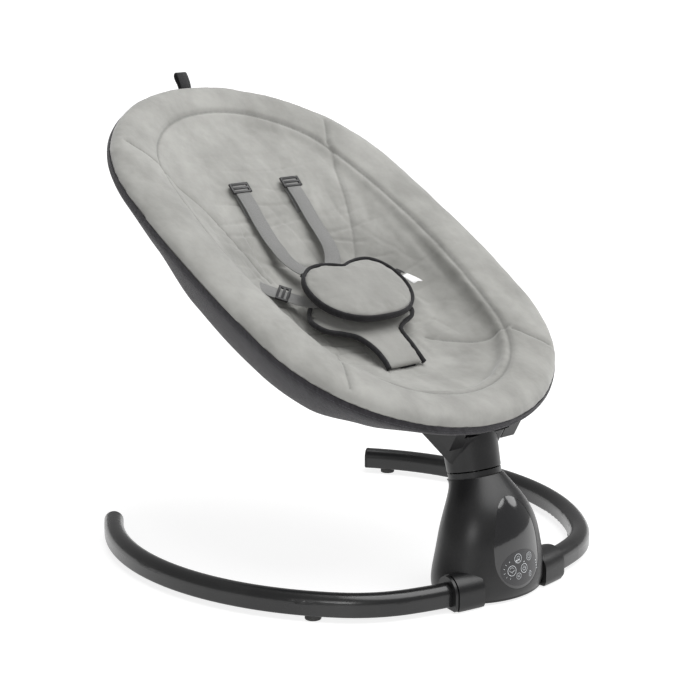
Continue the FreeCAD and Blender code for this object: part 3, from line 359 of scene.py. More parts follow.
finishes = {
    "powderBlack": plasticMaterial("powderBlack", (0.0075, 0.0075, 0.008), 0.28, 0.3, 0.02, 0.25, 1100.0),
    "satinBlack": plasticMaterial("satinBlack", (0.0065, 0.0065, 0.007), 0.34, 0.25, 0.02),
    "frameGrey": plasticMaterial("frameGrey", (0.11, 0.11, 0.12), 0.5),
    "lensBlack": plasticMaterial("lensBlack", (0.004, 0.004, 0.005), 0.07, 0.02, 0.02, 1.0),
    "keyFilm": plasticMaterial("keyFilm", (0.010, 0.010, 0.012), 0.20, 0.10, 0.03, 0.4),
    "iconInk": plasticMaterial("iconInk", (0.62, 0.64, 0.66), 0.5, 0.05, 0.0),
    "footRubber": plasticMaterial("footRubber", (0.02, 0.02, 0.02), 0.72, 0.6, 0.12, 0.0, 700.0),
    "turnedSteel": metalMaterial("turnedSteel", (0.52, 0.52, 0.53), 0.28),
    "zincSteel": metalMaterial("zincSteel", (0.42, 0.42, 0.44), 0.38),
    "gearWhite": plasticMaterial("gearWhite", (0.75, 0.73, 0.66), 0.4),
    "boardGreen": plasticMaterial("boardGreen", (0.015, 0.11, 0.045), 0.3),
    "velour": velourMaterial("velour", (0.355, 0.353, 0.335), (0.222, 0.221, 0.208), 0.8),
    "velourPad": velourMaterial("velourPad", (0.335, 0.333, 0.316), (0.215, 0.214, 0.202), 0.6),
    "charcoal": clothMaterial("charcoal", (0.012, 0.011, 0.0135), (0.030, 0.028, 0.033)),
    "binding": clothMaterial("binding", (0.010, 0.010, 0.011), (0.022, 0.021, 0.024), 700.0, 0.3, 0.1),
    "webGrey": webbingMaterial("webGrey", (0.27, 0.27, 0.265)),
    "webBlack": webbingMaterial("webBlack", (0.018, 0.018, 0.02), 7.0),
    "buckleBlack": plasticMaterial("buckleBlack", (0.010, 0.010, 0.011), 0.33, 0.2, 0.04),
    "buttonRed": plasticMaterial("buttonRed", (0.42, 0.03, 0.025), 0.35),
    "labelWhite": clothMaterial("labelWhite", (0.70, 0.70, 0.70), (0.80, 0.80, 0.80), 1500.0, 0.1, 0.1),
    "thread": clothMaterial("thread", (0.05, 0.05, 0.055), (0.10, 0.10, 0.11), 2600.0, 0.2, 0.1),
}
print("stage: materials", len(finishes))


# mesh helpers; seat sizes are in millimetres in the hoop's own plane
seatFrame = {"pitch": 29.45, "centre": (328.5, 427.7)}
mm = 0.001


def seatPoint(x, s, n):  # across, along to the head, out of the seat -> metres in the room
    a = radians(seatFrame["pitch"])
    y = seatFrame["centre"][0] + s * cos(a) - n * sin(a)
    z = seatFrame["centre"][1] + s * sin(a) + n * cos(a)
    return Vector((x * mm, y * mm, z * mm))


def seatLocal(point):  # the other way round
    a = radians(seatFrame["pitch"])
    y = point.y / mm - seatFrame["centre"][0]
    z = point.z / mm - seatFrame["centre"][1]
    return point.x / mm, y * cos(a) + z * sin(a), z * cos(a) - y * sin(a)


seatOut = seatPoint(0, 0, 1) - seatPoint(0, 0, 0)
seatOut.normalize()


def newPiece(name, verts, faces, material, smooth=True):
    mesh = bpy.data.meshes.new(name)
    mesh.from_pydata([tuple(v) for v in verts], [], faces)
    mesh.validate()
    piece = bpy.data.objects.new(name, mesh)
    scene.collection.objects.link(piece)
    mesh.materials.append(material)
    if smooth:
        mesh.shade_smooth()
    return piece


def faceOutwards(piece, merge=0.0):
    bm = bmesh.new()
    bm.from_mesh(piece.data)
    if merge:
        bmesh.ops.remove_doubles(bm, verts=bm.verts, dist=merge)
    bmesh.ops.recalc_face_normals(bm, faces=bm.faces)
    bm.to_mesh(piece.data)
    bm.free()


def settle(piece):  # applies the live modifiers and leaves a plain mesh
    graph = bpy.context.evaluated_depsgraph_get()
    graph.update()
    mesh = bpy.data.meshes.new_from_object(piece.evaluated_get(graph))
    piece.modifiers.clear()
    old = piece.data
    name = old.name
    piece.data = mesh
    bpy.data.meshes.remove(old)
    mesh.name = name


def subdivided(piece, levels=1):
    mod = piece.modifiers.new("smoother", "SUBSURF")
    mod.levels = levels
    mod.render_levels = levels
    settle(piece)


def ovalReach(turn, length, width, endRadius):  # distance from the middle to a four-arc oval
    reach = length - endRadius
    side = (width ** 2 + reach ** 2 - endRadius ** 2) / (2 * (width - endRadius))
    dx, ds = abs(sin(turn)), abs(cos(turn))
    span = hypot(side - width, reach)
    jointX = endRadius * (side - width) / span
    jointS = reach + endRadius * reach / span
    if dx * jointS > ds * jointX:
        cx, cs, r = width - side, 0.0, side
    else:
        cx, cs, r = 0.0, reach, endRadius
    along = dx * cx + ds * cs
    return along + sqrt(max(along ** 2 - cx ** 2 - cs ** 2 + r ** 2, 0.0))


def splineRows(rows, steps):  # Catmull-Rom through rows of numbers
    result = []
    for i in range(len(rows) - 1):
        before, a, b, after = rows[max(i - 1, 0)], rows[i], rows[i + 1], rows[min(i + 2, len(rows) - 1)]
        for k in range(steps):
            t = k / steps
            result.append(tuple(
                0.5 * (2 * q + (r - p) * t + (2 * p - 5 * q + 4 * r - u) * t ** 2 + (3 * q - p - 3 * r + u) * t ** 3)
                for p, q, r, u in zip(before, a, b, after)))
    result.append(tuple(rows[-1]))
    return result


def bowlMesh(name, rows, around, material, startCap=None, endCap=None):
    verts, faces = [], []
    for length, width, endRadius, middle, level in rows:
        for k in range(around):
            turn = 2 * pi * k / around
            r = ovalReach(turn, length, width, endRadius)
            verts.append(seatPoint(r * sin(turn), middle + r * cos(turn), level))
    for i in range(len(rows) - 1):
        for k in range(around):
            a, b = i * around + k, i * around + (k + 1) % around
            faces.append((a, b, b + around, a + around))
    for cap, row in ((startCap, 0), (endCap, len(rows) - 1)):
        if cap is not None:
            verts.append(seatPoint(0, *cap))
            for k in range(around):
                faces.append((row * around + k, row * around + (k + 1) % around, len(verts) - 1))
    piece = newPiece(name, verts, faces, material)
    faceOutwards(piece)
    return piece


def puffUp(piece, voxel, pressure, cap, pinned=None, stiffness=15.0, smoothing=3):
    remesh = piece.modifiers.new("even", "REMESH")
    remesh.mode = "VOXEL"
    remesh.voxel_size = voxel
    settle(piece)
    relax = piece.modifiers.new("relax", "SMOOTH")
    relax.factor = 0.5
    relax.iterations = smoothing
    settle(piece)
    start = [v.co.copy() for v in piece.data.vertices]
    if pinned is not None:
        hold = piece.vertex_groups.new(name="held")
        for v in piece.data.vertices:
            weight = pinned(v.co)
            if weight > 0.01:
                hold.add([v.index], min(weight, 1.0), "REPLACE")
    cloth = piece.modifiers.new("cloth", "CLOTH")
    cloth.settings.quality = 5
    cloth.settings.mass = 0.3
    cloth.settings.tension_stiffness = stiffness
    cloth.settings.compression_stiffness = stiffness
    cloth.settings.use_pressure = True
    cloth.settings.uniform_pressure_force = pressure
    cloth.settings.effector_weights.gravity = 0
    cloth.collision_settings.use_collision = False
    if pinned is not None:
        cloth.settings.vertex_group_mass = "held"
    cloth.point_cache.frame_start = 1
    cloth.point_cache.frame_end = 20
    for step in range(1, 21):
        scene.frame_set(step)
    settle(piece)
    scene.frame_set(1)
    for v, old in zip(piece.data.vertices, start):
        move = v.co - old
        if move.length > cap:
            v.co = old + move.normalized() * cap
    piece.vertex_groups.clear()
    subdivided(piece)
    piece.data.shade_smooth()


# seat cover: grey velour roll over the hoop, border and bucket
coverSettings = {
    "around": 192,
    "voxel": 0.0056,
    "pressure": 3.5,
    "cap": 0.009,
    "outside": (  # how far outside the hoop's line, height
        (-14, -4.5), (4, -5), (15.2, -3.5), (16.4, 0.5), (15.6, 6), (11.5, 11.8), (4.5, 15.6), (-4, 17), (-15, 16)),
    "inside": (  # half length, half width, end radius, middle, level
        (346, 199, 182, 0, 13.2),
        (330, 182, 165, 0, 7.6),
        (320, 176, 160, -1, 3.5),
        (306, 174.5, 160, -10, -3.0),
        (264, 172, 160, -52, -10.5),
        (231, 166, 155, -71, -20),
        (192, 155, 145, -77, -32),
        (150, 138, 128, -76, -45.5),
        (112, 106, 98, -70, -58),
        (72, 66, 62, -65, -66.5),
        (26, 24, 23, -64, -70),
    ),
    "underside": (
        (350, 214, 206, 0, -12),
        (330, 202, 192, -8, -26),
        (262, 186, 176, -44, -47),
        (192, 160, 150, -62, -64),
        (96, 92, 88, -62, -79),
    ),
    "middle": (-64, -70.4),
    "underMiddle": (-62, -81),
}
hoop = (376, 240, 232)


def buildCover(s):
    rows = [(hoop[0] + d, hoop[1] + d, hoop[2] + d, 0, level) for d, level in s["outside"]] + list(s["inside"])
    top = splineRows(rows, 3)
    under = splineRows(list(reversed(s["underside"])) + [(hoop[0] - 14, hoop[1] - 14, hoop[2] - 14, 0, -4.5)], 3)[:-1]
    return bowlMesh("seatCover", under + top, s["around"], finishes["velour"], s["underMiddle"], s["middle"])


seamSettings = {
    "border": [(turn, 0) for turn in range(0, 360, 3)],
    "radials": (((161, 222), (188, 269)), ((160, -236), (188, -286))),
    "creases": ((163, 225, 7), (152, 188, -6), (132, 130, -24), (108, 62, -43), (82, 6, -58)),
    "foot": ((160, -228, 4), (140, -222, -12), (112, -196, -36), (84, -160, -56)),
    "depth": 3.4,
    "reach": 4.2,
}


def polyline(points, step=2.0):
    dense = []
    for a, b in zip(points, points[1:]):
        count = max(int(hypot(b[0] - a[0], b[1] - a[1]) / step), 1)
        dense += [tuple(p + (q - p) * k / count for p, q in zip(a, b)) for k in range(count)]
    dense.append(points[-1])
    return dense


def seamLines(s):
    border = []
    for degree, _ in s["border"] + [(360, 0)]:
        turn = radians(degree)
        r = ovalReach(turn, 330, 182, 165)
        border.append((r * sin(turn), r * cos(turn)))
    lines = {"border": polyline(border)}
    for index, (near, far) in enumerate(s["radials"]):
        for side in (1, -1):
            lines[f"radial{index}{side}"] = polyline([(near[0] * side, near[1]), (far[0] * side, far[1])])
    for side in (1, -1):
        lines[f"crease{side}"] = polyline([(x * side, y) for x, y, _ in smoothLine(s["creases"], 4)])
        lines[f"foot{side}"] = polyline([(x * side, y) for x, y, _ in smoothLine(s["foot"], 4)])
    return lines


def smoothLine(points, steps):
    return splineRows([tuple(p) for p in points], steps)


seams = seamLines(seamSettings)


def treeOf(points):
    tree = KDTree(len(points))
    for index, p in enumerate(points):
        tree.insert((p[0], p[1], 0), index)
    tree.balance()
    return tree


strongSeams = treeOf([p for key, line in seams.items() if key[:4] in ("bord", "radi") for p in line])
softSeams = treeOf([p for key, line in seams.items() if key[:4] in ("crea", "foot") for p in line])


def holdSeams(point):
    x, s, n = seatLocal(point)
    if n < -4 and hypot(x, s) > ovalReach(atan2(x, s), *hoop) - 26:
        return 1.0
    near = strongSeams.find((x, s, 0))[2]
    soft = softSeams.find((x, s, 0))[2]
    return max(exp(-(near / 7) ** 2), 0.8 * exp(-(soft / 8) ** 2), 0.12)


def sewSeams(piece, s):  # pulls the cover in along its seams and creases and stores painted shade along them for the material
    marks = piece.data.attributes.new("seamCreaseShade", "FLOAT", "POINT")
    values = [0.0] * len(piece.data.vertices)
    normals = [v.normal.copy() for v in piece.data.vertices]
    for v, normal in zip(piece.data.vertices, normals):
        if normal.dot(seatOut) < 0.05:
            continue
        x, y, n = seatLocal(v.co)
        near = strongSeams.find((x, y, 0))[2]
        soft = softSeams.find((x, y, 0))[2]
        pull = s["depth"] * exp(-(near / s["reach"]) ** 2) + 0.75 * s["depth"] * exp(-(soft / s["reach"]) ** 2)
        wrinkle = noise.noise(Vector((x, y * 0.6, n)) * 0.016) * 1.5
        wrinkle += noise.noise(Vector((x * 0.5, y, n)) * 0.045) * 0.7
        loose = exp(-(x / 120) ** 2 - ((y + 60) / 120) ** 2)
        loose += 0.35 * exp(-((abs(x) - 60) / 70) ** 2 - ((y - 120) / 90) ** 2)
        bend = noise.noise(Vector((x * 0.008, y * 0.03, n * 0.004)))
        across = noise.noise(Vector((x * 0.028 + 7, y * 0.009, n * 0.004)))
        fold = exp(-(bend / 0.09) ** 2) * 4.2 + exp(-(across / 0.08) ** 2) * 3.2
        v.co += normal * ((wrinkle - pull - fold * loose) * mm)
        # painted shade strength along the seam grooves and creases
        values[v.index] = max(exp(-(near / 1.9) ** 2), 0.85 * exp(-(soft / 1.9) ** 2))
    marks.data.foreach_set("value", values)


cover = buildCover(coverSettings)
puffUp(cover, coverSettings["voxel"], coverSettings["pressure"], coverSettings["cap"], holdSeams)
sewSeams(cover, seamSettings)
print("stage: seat cover", len(cover.data.polygons), "faces")


# charcoal sling with its hem round the hoop
slingSettings = {
    "around": 192,
    "wall": 1.6,
    "hem": ((15.6, 0.8), (17.2, -1.2), (17.6, -5), (17.0, -10)),
    "steps": (0, 0.02, 0.045, 0.075, 0.11, 0.15, 0.2, 0.26, 0.34, 0.44, 0.56, 0.7, 0.86),
    "level": -13,
    "drop": 74,
    "middle": -62,
    "fall": (
        (-400, 3.4), (-372, 3.6), (-330, 5.5), (-260, 8.6), (-100, 9.2), (0, 8.4), (100, 5.2), (200, 3.6), (400, 3.2),
    ),
}


def fallAt(s, table):  # how steeply the sling drops from the hoop at this place along it
    for (a, low), (b, high) in zip(table, table[1:]):
        if a <= s <= b:
            t = (s - a) / (b - a)
            return low + (high - low) * t * t * (3 - 2 * t)
    return table[-1][1]


def buildSling(s):
    verts, faces, count = [], [], s["around"]
    hem = splineRows(list(s["hem"]), 3)
    for d, level in hem:
        for k in range(count):
            turn = 2 * pi * k / count
            r = ovalReach(turn, hoop[0] + d, hoop[1] + d, hoop[2] + d)
            verts.append(seatPoint(r * sin(turn), r * cos(turn), level))
    for f in splineRows([(v,) for v in s["steps"]], 2)[1:]:
        for k in range(count):
            turn = 2 * pi * k / count
            r = ovalReach(turn, hoop[0] + 16, hoop[1] + 16, hoop[2] + 16)
            x, y = r * sin(turn), r * cos(turn)
            depth = s["drop"] * (1 - (1 - f[0]) ** fallAt(y, s["fall"]))
            verts.append(seatPoint(x * (1 - f[0]), y + (s["middle"] - y) * f[0], s["level"] - depth))
    rows = len(verts) // count
    for i in range(rows - 1):
        for k in range(count):
            a, c = i * count + k, i * count + (k + 1) % count
            faces.append((a, a + count, c + count, c))
    verts.append(seatPoint(0, s["middle"], s["level"] - s["drop"]))
    for k in range(count):
        faces.append(((rows - 1) * count + k, len(verts) - 1, (rows - 1) * count + (k + 1) % count))
    piece = newPiece("slingShell", verts, faces, finishes["charcoal"])
    faceOutwards(piece)
    wall = piece.modifiers.new("wall", "SOLIDIFY")
    wall.thickness = s["wall"] * mm
    wall.offset = -1
    settle(piece)
    return piece


sling = buildSling(slingSettings)
print("stage: sling")


# webbing: bands swept along a line, with a UV map of their own (u across, v along in metres)
def bandMesh(name, path, sideways, width, thick, material, closed=False):
    line = [Vector(p) for p in path]
    count = len(line)
    verts, faces, across, along = [], [], [], []
    quarter = ((0.5, 0.2), (0.47, 0.5))
    shape = [(-u, -w) for u, w in quarter] + [(u, -w) for u, w in quarter[::-1]]
    shape += list(quarter) + [(-u, w) for u, w in quarter[::-1]]
    run = 0.0
    for i, p in enumerate(line):
        before = line[(i - 1) % count] if closed else line[max(i - 1, 0)]
        after = line[(i + 1) % count] if closed else line[min(i + 1, count - 1)]
        ahead = (after - before).normalized()
        side = sideways[i] if isinstance(sideways, list) else sideways
        side = (side - ahead * side.dot(ahead)).normalized()
        up = side.cross(ahead).normalized()
        if i:
            run += (p - line[i - 1]).length
        for u, w in shape:
            verts.append(p + side * (u * width * mm) + up * (w * thick * mm))
            across.append(u + 0.5)
            along.append(run)
    ring = len(shape)
    for i in range(count if closed else count - 1):
        j = (i + 1) % count
        for k in range(ring):
            m = (k + 1) % ring
            faces.append((i * ring + k, i * ring + m, j * ring + m, j * ring + k))
    if not closed:
        faces.append(tuple(range(ring))[::-1])
        faces.append(tuple((count - 1) * ring + k for k in range(ring)))
    piece = newPiece(name, verts, faces, material)
    uv = piece.data.uv_layers.new(name="band")
    for loop in piece.data.loops:
        uv.data[loop.index].uv = (across[loop.vertex_index], along[loop.vertex_index])
    faceOutwards(piece)
    return piece


def seatCurve(points, steps=6):
    return [seatPoint(*p) for p in splineRows(points, steps)]


strapSettings = {
    "width": 25,
    "thick": 1.7,
    "slope": 14.6,
    "start": (48, 158, -8.9),
    "run": ((14.2, -2.3), (13.4, -0.4), (10, 0.1), (0, 0), (-30, 0.9), (-64, -0.4), (-96, 0.6)),
    "bend": (
        (46.6, 49, -35.2), (45, 37, -38.2), (41, 25, -41), (35, 14.5, -43.2),
        (28.5, 6, -44.3), (24.4, 1.5, -44.6), (23, -3, -44.6),
    ),
    "slideSpan": (-7, 13),
    "slideLevel": 0.4,
    "slide": (18, 34, 3.2, 3.6),
    "lower run": ((14.2, -2.3), (13.4, -4.4), (10, -4.7), (-10, -4.7), (-28, -4.9), (-42, -6.6), (-50, -12)),
}


def strapLocal(side, y, z, s):
    a = radians(s["slope"])
    return side * s["start"][0], y * cos(a) - z * sin(a) + s["start"][1], y * sin(a) + z * cos(a) + s["start"][2]


def bandAlong(name, points, s, material):  # a band that lies flat on the seat and turns in its own plane
    line = [seatPoint(*p) for p in points]
    sideways = []
    for i in range(len(line)):
        ahead = line[min(i + 1, len(line) - 1)] - line[max(i - 1, 0)]
        level = ahead - seatOut * ahead.dot(seatOut)
        sideways.append(level.cross(seatOut).normalized() if level.length > 1e-5 else Vector((1, 0, 0)))
    return bandMesh(name, line, sideways, s["width"], s["thick"], material)


def shoulderStrap(side, name, s):
    straight = [strapLocal(side, y, z, s) for y, z in s["run"]]
    turned = [(side * x, y, n) for x, y, n in s["bend"]]
    lower = [seatPoint(*p) for p in splineRows([strapLocal(side, y, z, s) for y, z in s["lower run"]], 5)]
    across = Vector((1, 0, 0))
    first = bandAlong(name, splineRows(straight + turned, 5), s, finishes["webGrey"])
    second = bandMesh(name + "Lower", lower, across, s["width"], s["thick"], finishes["webGrey"])
    return first, second


waistSettings = {
    "width": 25,
    "thick": 1.7,
    "path": (
        (50, -59, -44.6), (60, -60, -45), (72, -54, -46), (86, -40, -47.5),
        (98, -26, -49), (110, -14, -49), (124, -4, -46),
    ),
    "adjuster": ((84, -40, -47), (99, -24, -48.6)),
    "lift": 1.2,
    "slide": (19, 34, 3.4, 3.8),
}


def waistStrap(side, name, s):
    return bandAlong(name, splineRows([(side * x, y, n) for x, y, n in s["path"]], 6), s, finishes["webGrey"])


def sliderMesh(name, middle, ahead, out, size, material):  # three-bar slide: frame with two windows
    length, width, height, bar = size
    side = ahead.cross(out).normalized()
    bm = bmesh.new()
    ys = (-length / 2, -length / 2 + bar, -bar / 2, bar / 2, length / 2 - bar, length / 2)
    xs = (-width / 2, -width / 2 + bar, width / 2 - bar, width / 2)
    grid = []
    for y in ys:
        lifts = [height * (0.18 * (2 * x / width) ** 2) for x in xs]
        grid.append([bm.verts.new(middle + (ahead * y + side * x + out * lift) * mm) for x, lift in zip(xs, lifts)])
    for i in range(5):
        for k in range(3):
            if k == 1 and i in (1, 3):
                continue
            bm.faces.new((grid[i][k], grid[i][k + 1], grid[i + 1][k + 1], grid[i + 1][k]))
    mesh = bpy.data.meshes.new(name)
    bm.to_mesh(mesh)
    bm.free()
    mesh.materials.append(material)
    piece = bpy.data.objects.new(name, mesh)
    scene.collection.objects.link(piece)
    wall = piece.modifiers.new("wall", "SOLIDIFY")
    wall.thickness = height * mm
    wall.offset = 0
    round_ = piece.modifiers.new("rounded", "BEVEL")
    round_.width = 0.0006
    round_.segments = 2
    settle(piece)
    mesh = piece.data
    mesh.shade_smooth()
    return piece


sides = (("right", 1), ("left", -1))
shoulderStraps = {side: shoulderStrap(value, f"{side}ShoulderWebbing", strapSettings) for side, value in sides}
waistStraps = {side: waistStrap(value, f"{side}WaistWebbing", waistSettings) for side, value in sides}


def strapSlide(side, name, s):  # frame round both runs of the shoulder strap
    a, b = (seatPoint(*strapLocal(side, y, s["slideLevel"], s)) for y in s["slideSpan"])
    ahead = (b - a).normalized()
    out = Vector((1, 0, 0)).cross(ahead).normalized()
    return sliderMesh(name, (a + b) / 2, ahead, out, s["slide"], finishes["buckleBlack"])


def waistAdjuster(side, name, s):
    a, b = (seatPoint(side * p[0], p[1], p[2] + s["lift"]) for p in s["adjuster"])
    return sliderMesh(name, (a + b) / 2, (b - a).normalized(), seatOut, s["slide"], finishes["buckleBlack"])


strapSlides = {side: strapSlide(value, f"{side}StrapSlide", strapSettings) for side, value in sides}
waistAdjusters = [waistAdjuster(value, f"{side}WaistSlide", waistSettings) for side, value in sides]
print("stage: webbing")


# kidney pad over the buckle and T-shaped pad under it, both bound in charcoal tape
def tapeMesh(name, outline, out, wide, high, material, closed=True):  # rounded tape along an edge
    count = len(outline)
    verts, faces = [], []
    ring = 10
    for i, p in enumerate(outline):
        before = outline[(i - 1) % count] if closed else outline[max(i - 1, 0)]
        after = outline[(i + 1) % count] if closed else outline[min(i + 1, count - 1)]
        ahead = (after - before).normalized()
        side = ahead.cross(out).normalized()
        up = side.cross(ahead).normalized()
        for k in range(ring):
            turn = 2 * pi * k / ring
            c, d = cos(turn), sin(turn)
            verts.append(p + side * (wide * mm * c) + up * (high * mm * (abs(d) ** 0.75) * (1 if d > 0 else -1)))
    for i in range(count if closed else count - 1):
        j = (i + 1) % count
        for k in range(ring):
            m = (k + 1) % ring
            faces.append((i * ring + k, i * ring + m, j * ring + m, j * ring + k))
    if not closed:
        faces.append(tuple(range(ring)))
        faces.append(tuple((count - 1) * ring + k for k in range(ring))[::-1])
    piece = newPiece(name, verts, faces, material)
    faceOutwards(piece)
    return piece


def loopSpline(points, steps):
    count = len(points)
    result = []
    for i in range(count):
        p, q, r, u = (points[(i + k) % count] for k in (-1, 0, 1, 2))
        for k in range(steps):
            t = k / steps
            result.append(tuple(
                0.5 * (2 * b + (c - a) * t + (2 * a - 5 * b + 4 * c - d) * t ** 2 + (3 * b - a - 3 * c + d) * t ** 3)
                for a, b, c, d in zip(p, q, r, u)))
    return result


kidneySettings = {
    "half": (
        (0, -35), (16, -30), (36, -26), (56, -27.5), (73, -38), (84, -56),
        (87, -78), (83, -100), (70, -121), (50, -136), (26, -143.5), (0, -145),
    ),
    "shift": (2, 1),
    "middle": -88,
    "level": -13,
    "thick": 9,
    "crown": 5,
    "bow": 4.5,  # the two lobes hang this much lower than the middle
    "tapeWide": 2.6,
    "tapeHigh": 5.6,
    "voxel": 0.0038,
    "pressure": 4,
    "cap": 0.005,
}


def kidneyOutline(s):
    half = list(s["half"])
    points = half + [(-x, y) for x, y in reversed(half[1:-1])]
    return [(x + s["shift"][0], y + s["shift"][1]) for x, y in loopSpline(points, 5)]


def kidneyLevel(x, y, s):
    return s["level"] - s["bow"] * (x / 88) ** 2 + 1.5 * ((y - s["middle"]) / 60)


def buildKidney(s):
    outline = kidneyOutline(s)
    count = len(outline)
    verts, faces = [], []
    rows = [(0.12, 1), (0.35, 1), (0.6, 0.97), (0.8, 0.8), (0.93, 0.45), (1.0, 0.0)]
    for sign in (1, -1):
        for scale, lift in (rows if sign > 0 else list(reversed(rows[:-1]))):
            for x, y in outline:
                px, py = x * scale, s["middle"] + (y - s["middle"]) * scale
                crown = s["crown"] * lift if sign > 0 else -1.5 * lift
                rise = s["thick"] / 2 * (lift ** 0.6 if lift else 0) * sign + crown
                verts.append(seatPoint(px, py, kidneyLevel(px, py, s) + rise))
    for i in range(2 * len(rows) - 2):
        for k in range(count):
            m = (k + 1) % count
            faces.append((i * count + k, i * count + m, (i + 1) * count + m, (i + 1) * count + k))
    for row, level in ((0, s["crown"] + s["thick"] / 2), (2 * len(rows) - 2, -s["thick"] / 2 - 1.5)):
        verts.append(seatPoint(0, s["middle"], kidneyLevel(0, s["middle"], s) + level))
        for k in range(count):
            faces.append((row * count + k, row * count + (k + 1) % count, len(verts) - 1))
    piece = newPiece("kidneyPad", verts, faces, finishes["velourPad"])
    faceOutwards(piece)
    edge = treeOf(outline)

    def hold(point):
        x, y = seatLocal(point)[:2]
        return 1.0 if edge.find((x, y, 0))[2] < 5 else 0.05

    puffUp(piece, s["voxel"], s["pressure"], s["cap"], hold, 12.0, 2)
    for v in piece.data.vertices:  # gathers beside the tape
        x, y = seatLocal(v.co)[:2]
        near = edge.find((x, y, 0))[2]
        v.co += seatOut * (noise.noise(Vector((x, y, 0)) * 0.11) * 0.9 * exp(-((near - 8) / 12) ** 2) * mm)
    ring = [seatPoint(x, y, kidneyLevel(x, y, s)) for x, y in outline]
    tape = tapeMesh("kidneyTape", ring, seatOut, s["tapeWide"], s["tapeHigh"], finishes["binding"])
    return piece, tape


kidney, kidneyTape = buildKidney(kidneySettings)

crotchSettings = {
    "rows": (  # along, half width, level
        (-219, 33, -40.5), (-205, 32, -37.2), (-185, 33, -35), (-165, 36, -36),
        (-150, 42, -38.5), (-138, 58, -41.5), (-128, 80, -43.5),
        (-112, 90, -45.5), (-96, 88, -49), (-78, 76, -52), (-60, 58, -53.5)),
    "shift": -8,
    "thick": 7,
    "sag": 4,
    "tapeWide": 3.2,
    "tapeHigh": 4.2,
    "voxel": 0.0038,
    "pressure": 3,
    "cap": 0.003,
}


def buildCrotchPad(s):
    rows = splineRows(s["rows"], 5)
    across = 20
    verts, faces = [], []
    edge = ([], [])
    for y, half, level in rows:
        drift = s["shift"] * min(1, max(0, (-60 - y) / 100))
        for sign in (1, -1):
            for k in range(across + 1):
                u = 2 * k / across - 1
                puff = sqrt(max(1 - u ** 4, 0))
                wing = max(0.0, half * abs(u) - 34) * 0.10
                verts.append(seatPoint(u * half + drift, y, level + wing + sign * s["thick"] / 2 * puff))
        for index, u in ((0, -1), (1, 1)):
            wing = max(0.0, half - 34) * 0.10
            edge[index].append((u * half + drift, y, level + wing))
    width = across + 1
    stride = 2 * width
    for i in range(len(rows) - 1):
        for k in range(across):
            a = i * stride + k
            faces.append((a, a + 1, a + 1 + stride, a + stride))
            b = a + width
            faces.append((b + stride, b + 1 + stride, b + 1, b))
    for i in (0, len(rows) - 1):
        for k in range(across):
            a = i * stride + k
            faces.append((a, a + width, a + width + 1, a + 1) if i == 0 else (a + 1, a + width + 1, a + width, a))
    piece = newPiece("crotchPad", verts, faces, finishes["velourPad"])
    faceOutwards(piece, 0.0001)
    rim = treeOf([(p[0], p[1]) for side in edge for p in side])

    def hold(point):
        x, y = seatLocal(point)[:2]
        return 1.0 if rim.find((x, y, 0))[2] < 5 or y < -212 else 0.1

    puffUp(piece, s["voxel"], s["pressure"], s["cap"], hold, 12.0, 2)
    tape = [seatPoint(*p) for p in edge[0]] + [seatPoint(*p) for p in reversed(edge[1])]
    return piece, tapeMesh("crotchTape", tape, seatOut, s["tapeWide"], s["tapeHigh"], finishes["binding"], False)


crotch, crotchTape = buildCrotchPad(crotchSettings)
print("stage: harness pads")


# small sewn pieces: blank care label, its dark tab, head loop
labelSettings = {"width": 22, "length": 24, "root": (96, -78, -15.5), "turn": 28, "curl": 7}


def buildLabel(s, name, width, length, lift, material, steps=10):
    a = radians(s["turn"])
    rows = []
    for i in range(steps + 1):
        t = i / steps
        d = length * t
        rows.append((d, lift + s["curl"] * (0.35 * t - 0.9 * t ** 2)))
    verts, faces = [], []
    for d, h in rows:
        for w in (-width / 2, -width / 4, 0, width / 4, width / 2):
            x = s["root"][0] + d * cos(a) - w * sin(a)
            y = s["root"][1] + d * sin(a) * 0.4 + w * cos(a)
            verts.append(seatPoint(x, y, s["root"][2] + h + 0.7 * sin(d * 0.35 + w * 0.2)))
    for i in range(steps):
        for k in range(4):
            b = i * 5 + k
            faces.append((b, b + 1, b + 6, b + 5))
    piece = newPiece(name, verts, faces, material)
    wall = piece.modifiers.new("wall", "SOLIDIFY")
    wall.thickness = 0.0004
    settle(piece)
    return piece


label = buildLabel(labelSettings, "careLabel", 22, 26, 0, finishes["labelWhite"])
tabSettings = {**labelSettings, "root": (88, -58, -17), "turn": 34}
labelTab = buildLabel(tabSettings, "labelTab", 12, 22, 0, finishes["binding"])

loopSettings = {
    "width": 19,
    "thick": 1.7,
    "path": (
        (388, 8), (392, 13), (398, 17.5), (404, 21), (410, 23.5),
        (414, 21), (413, 16), (408, 12.5), (400, 9.5), (393, 5),
    ),
}
headLoop = bandMesh("headLoopBand", seatCurve([(0, s, n) for s, n in loopSettings["path"]], 5), Vector((1, 0, 0)),
                    loopSettings["width"], loopSettings["thick"], finishes["webBlack"])
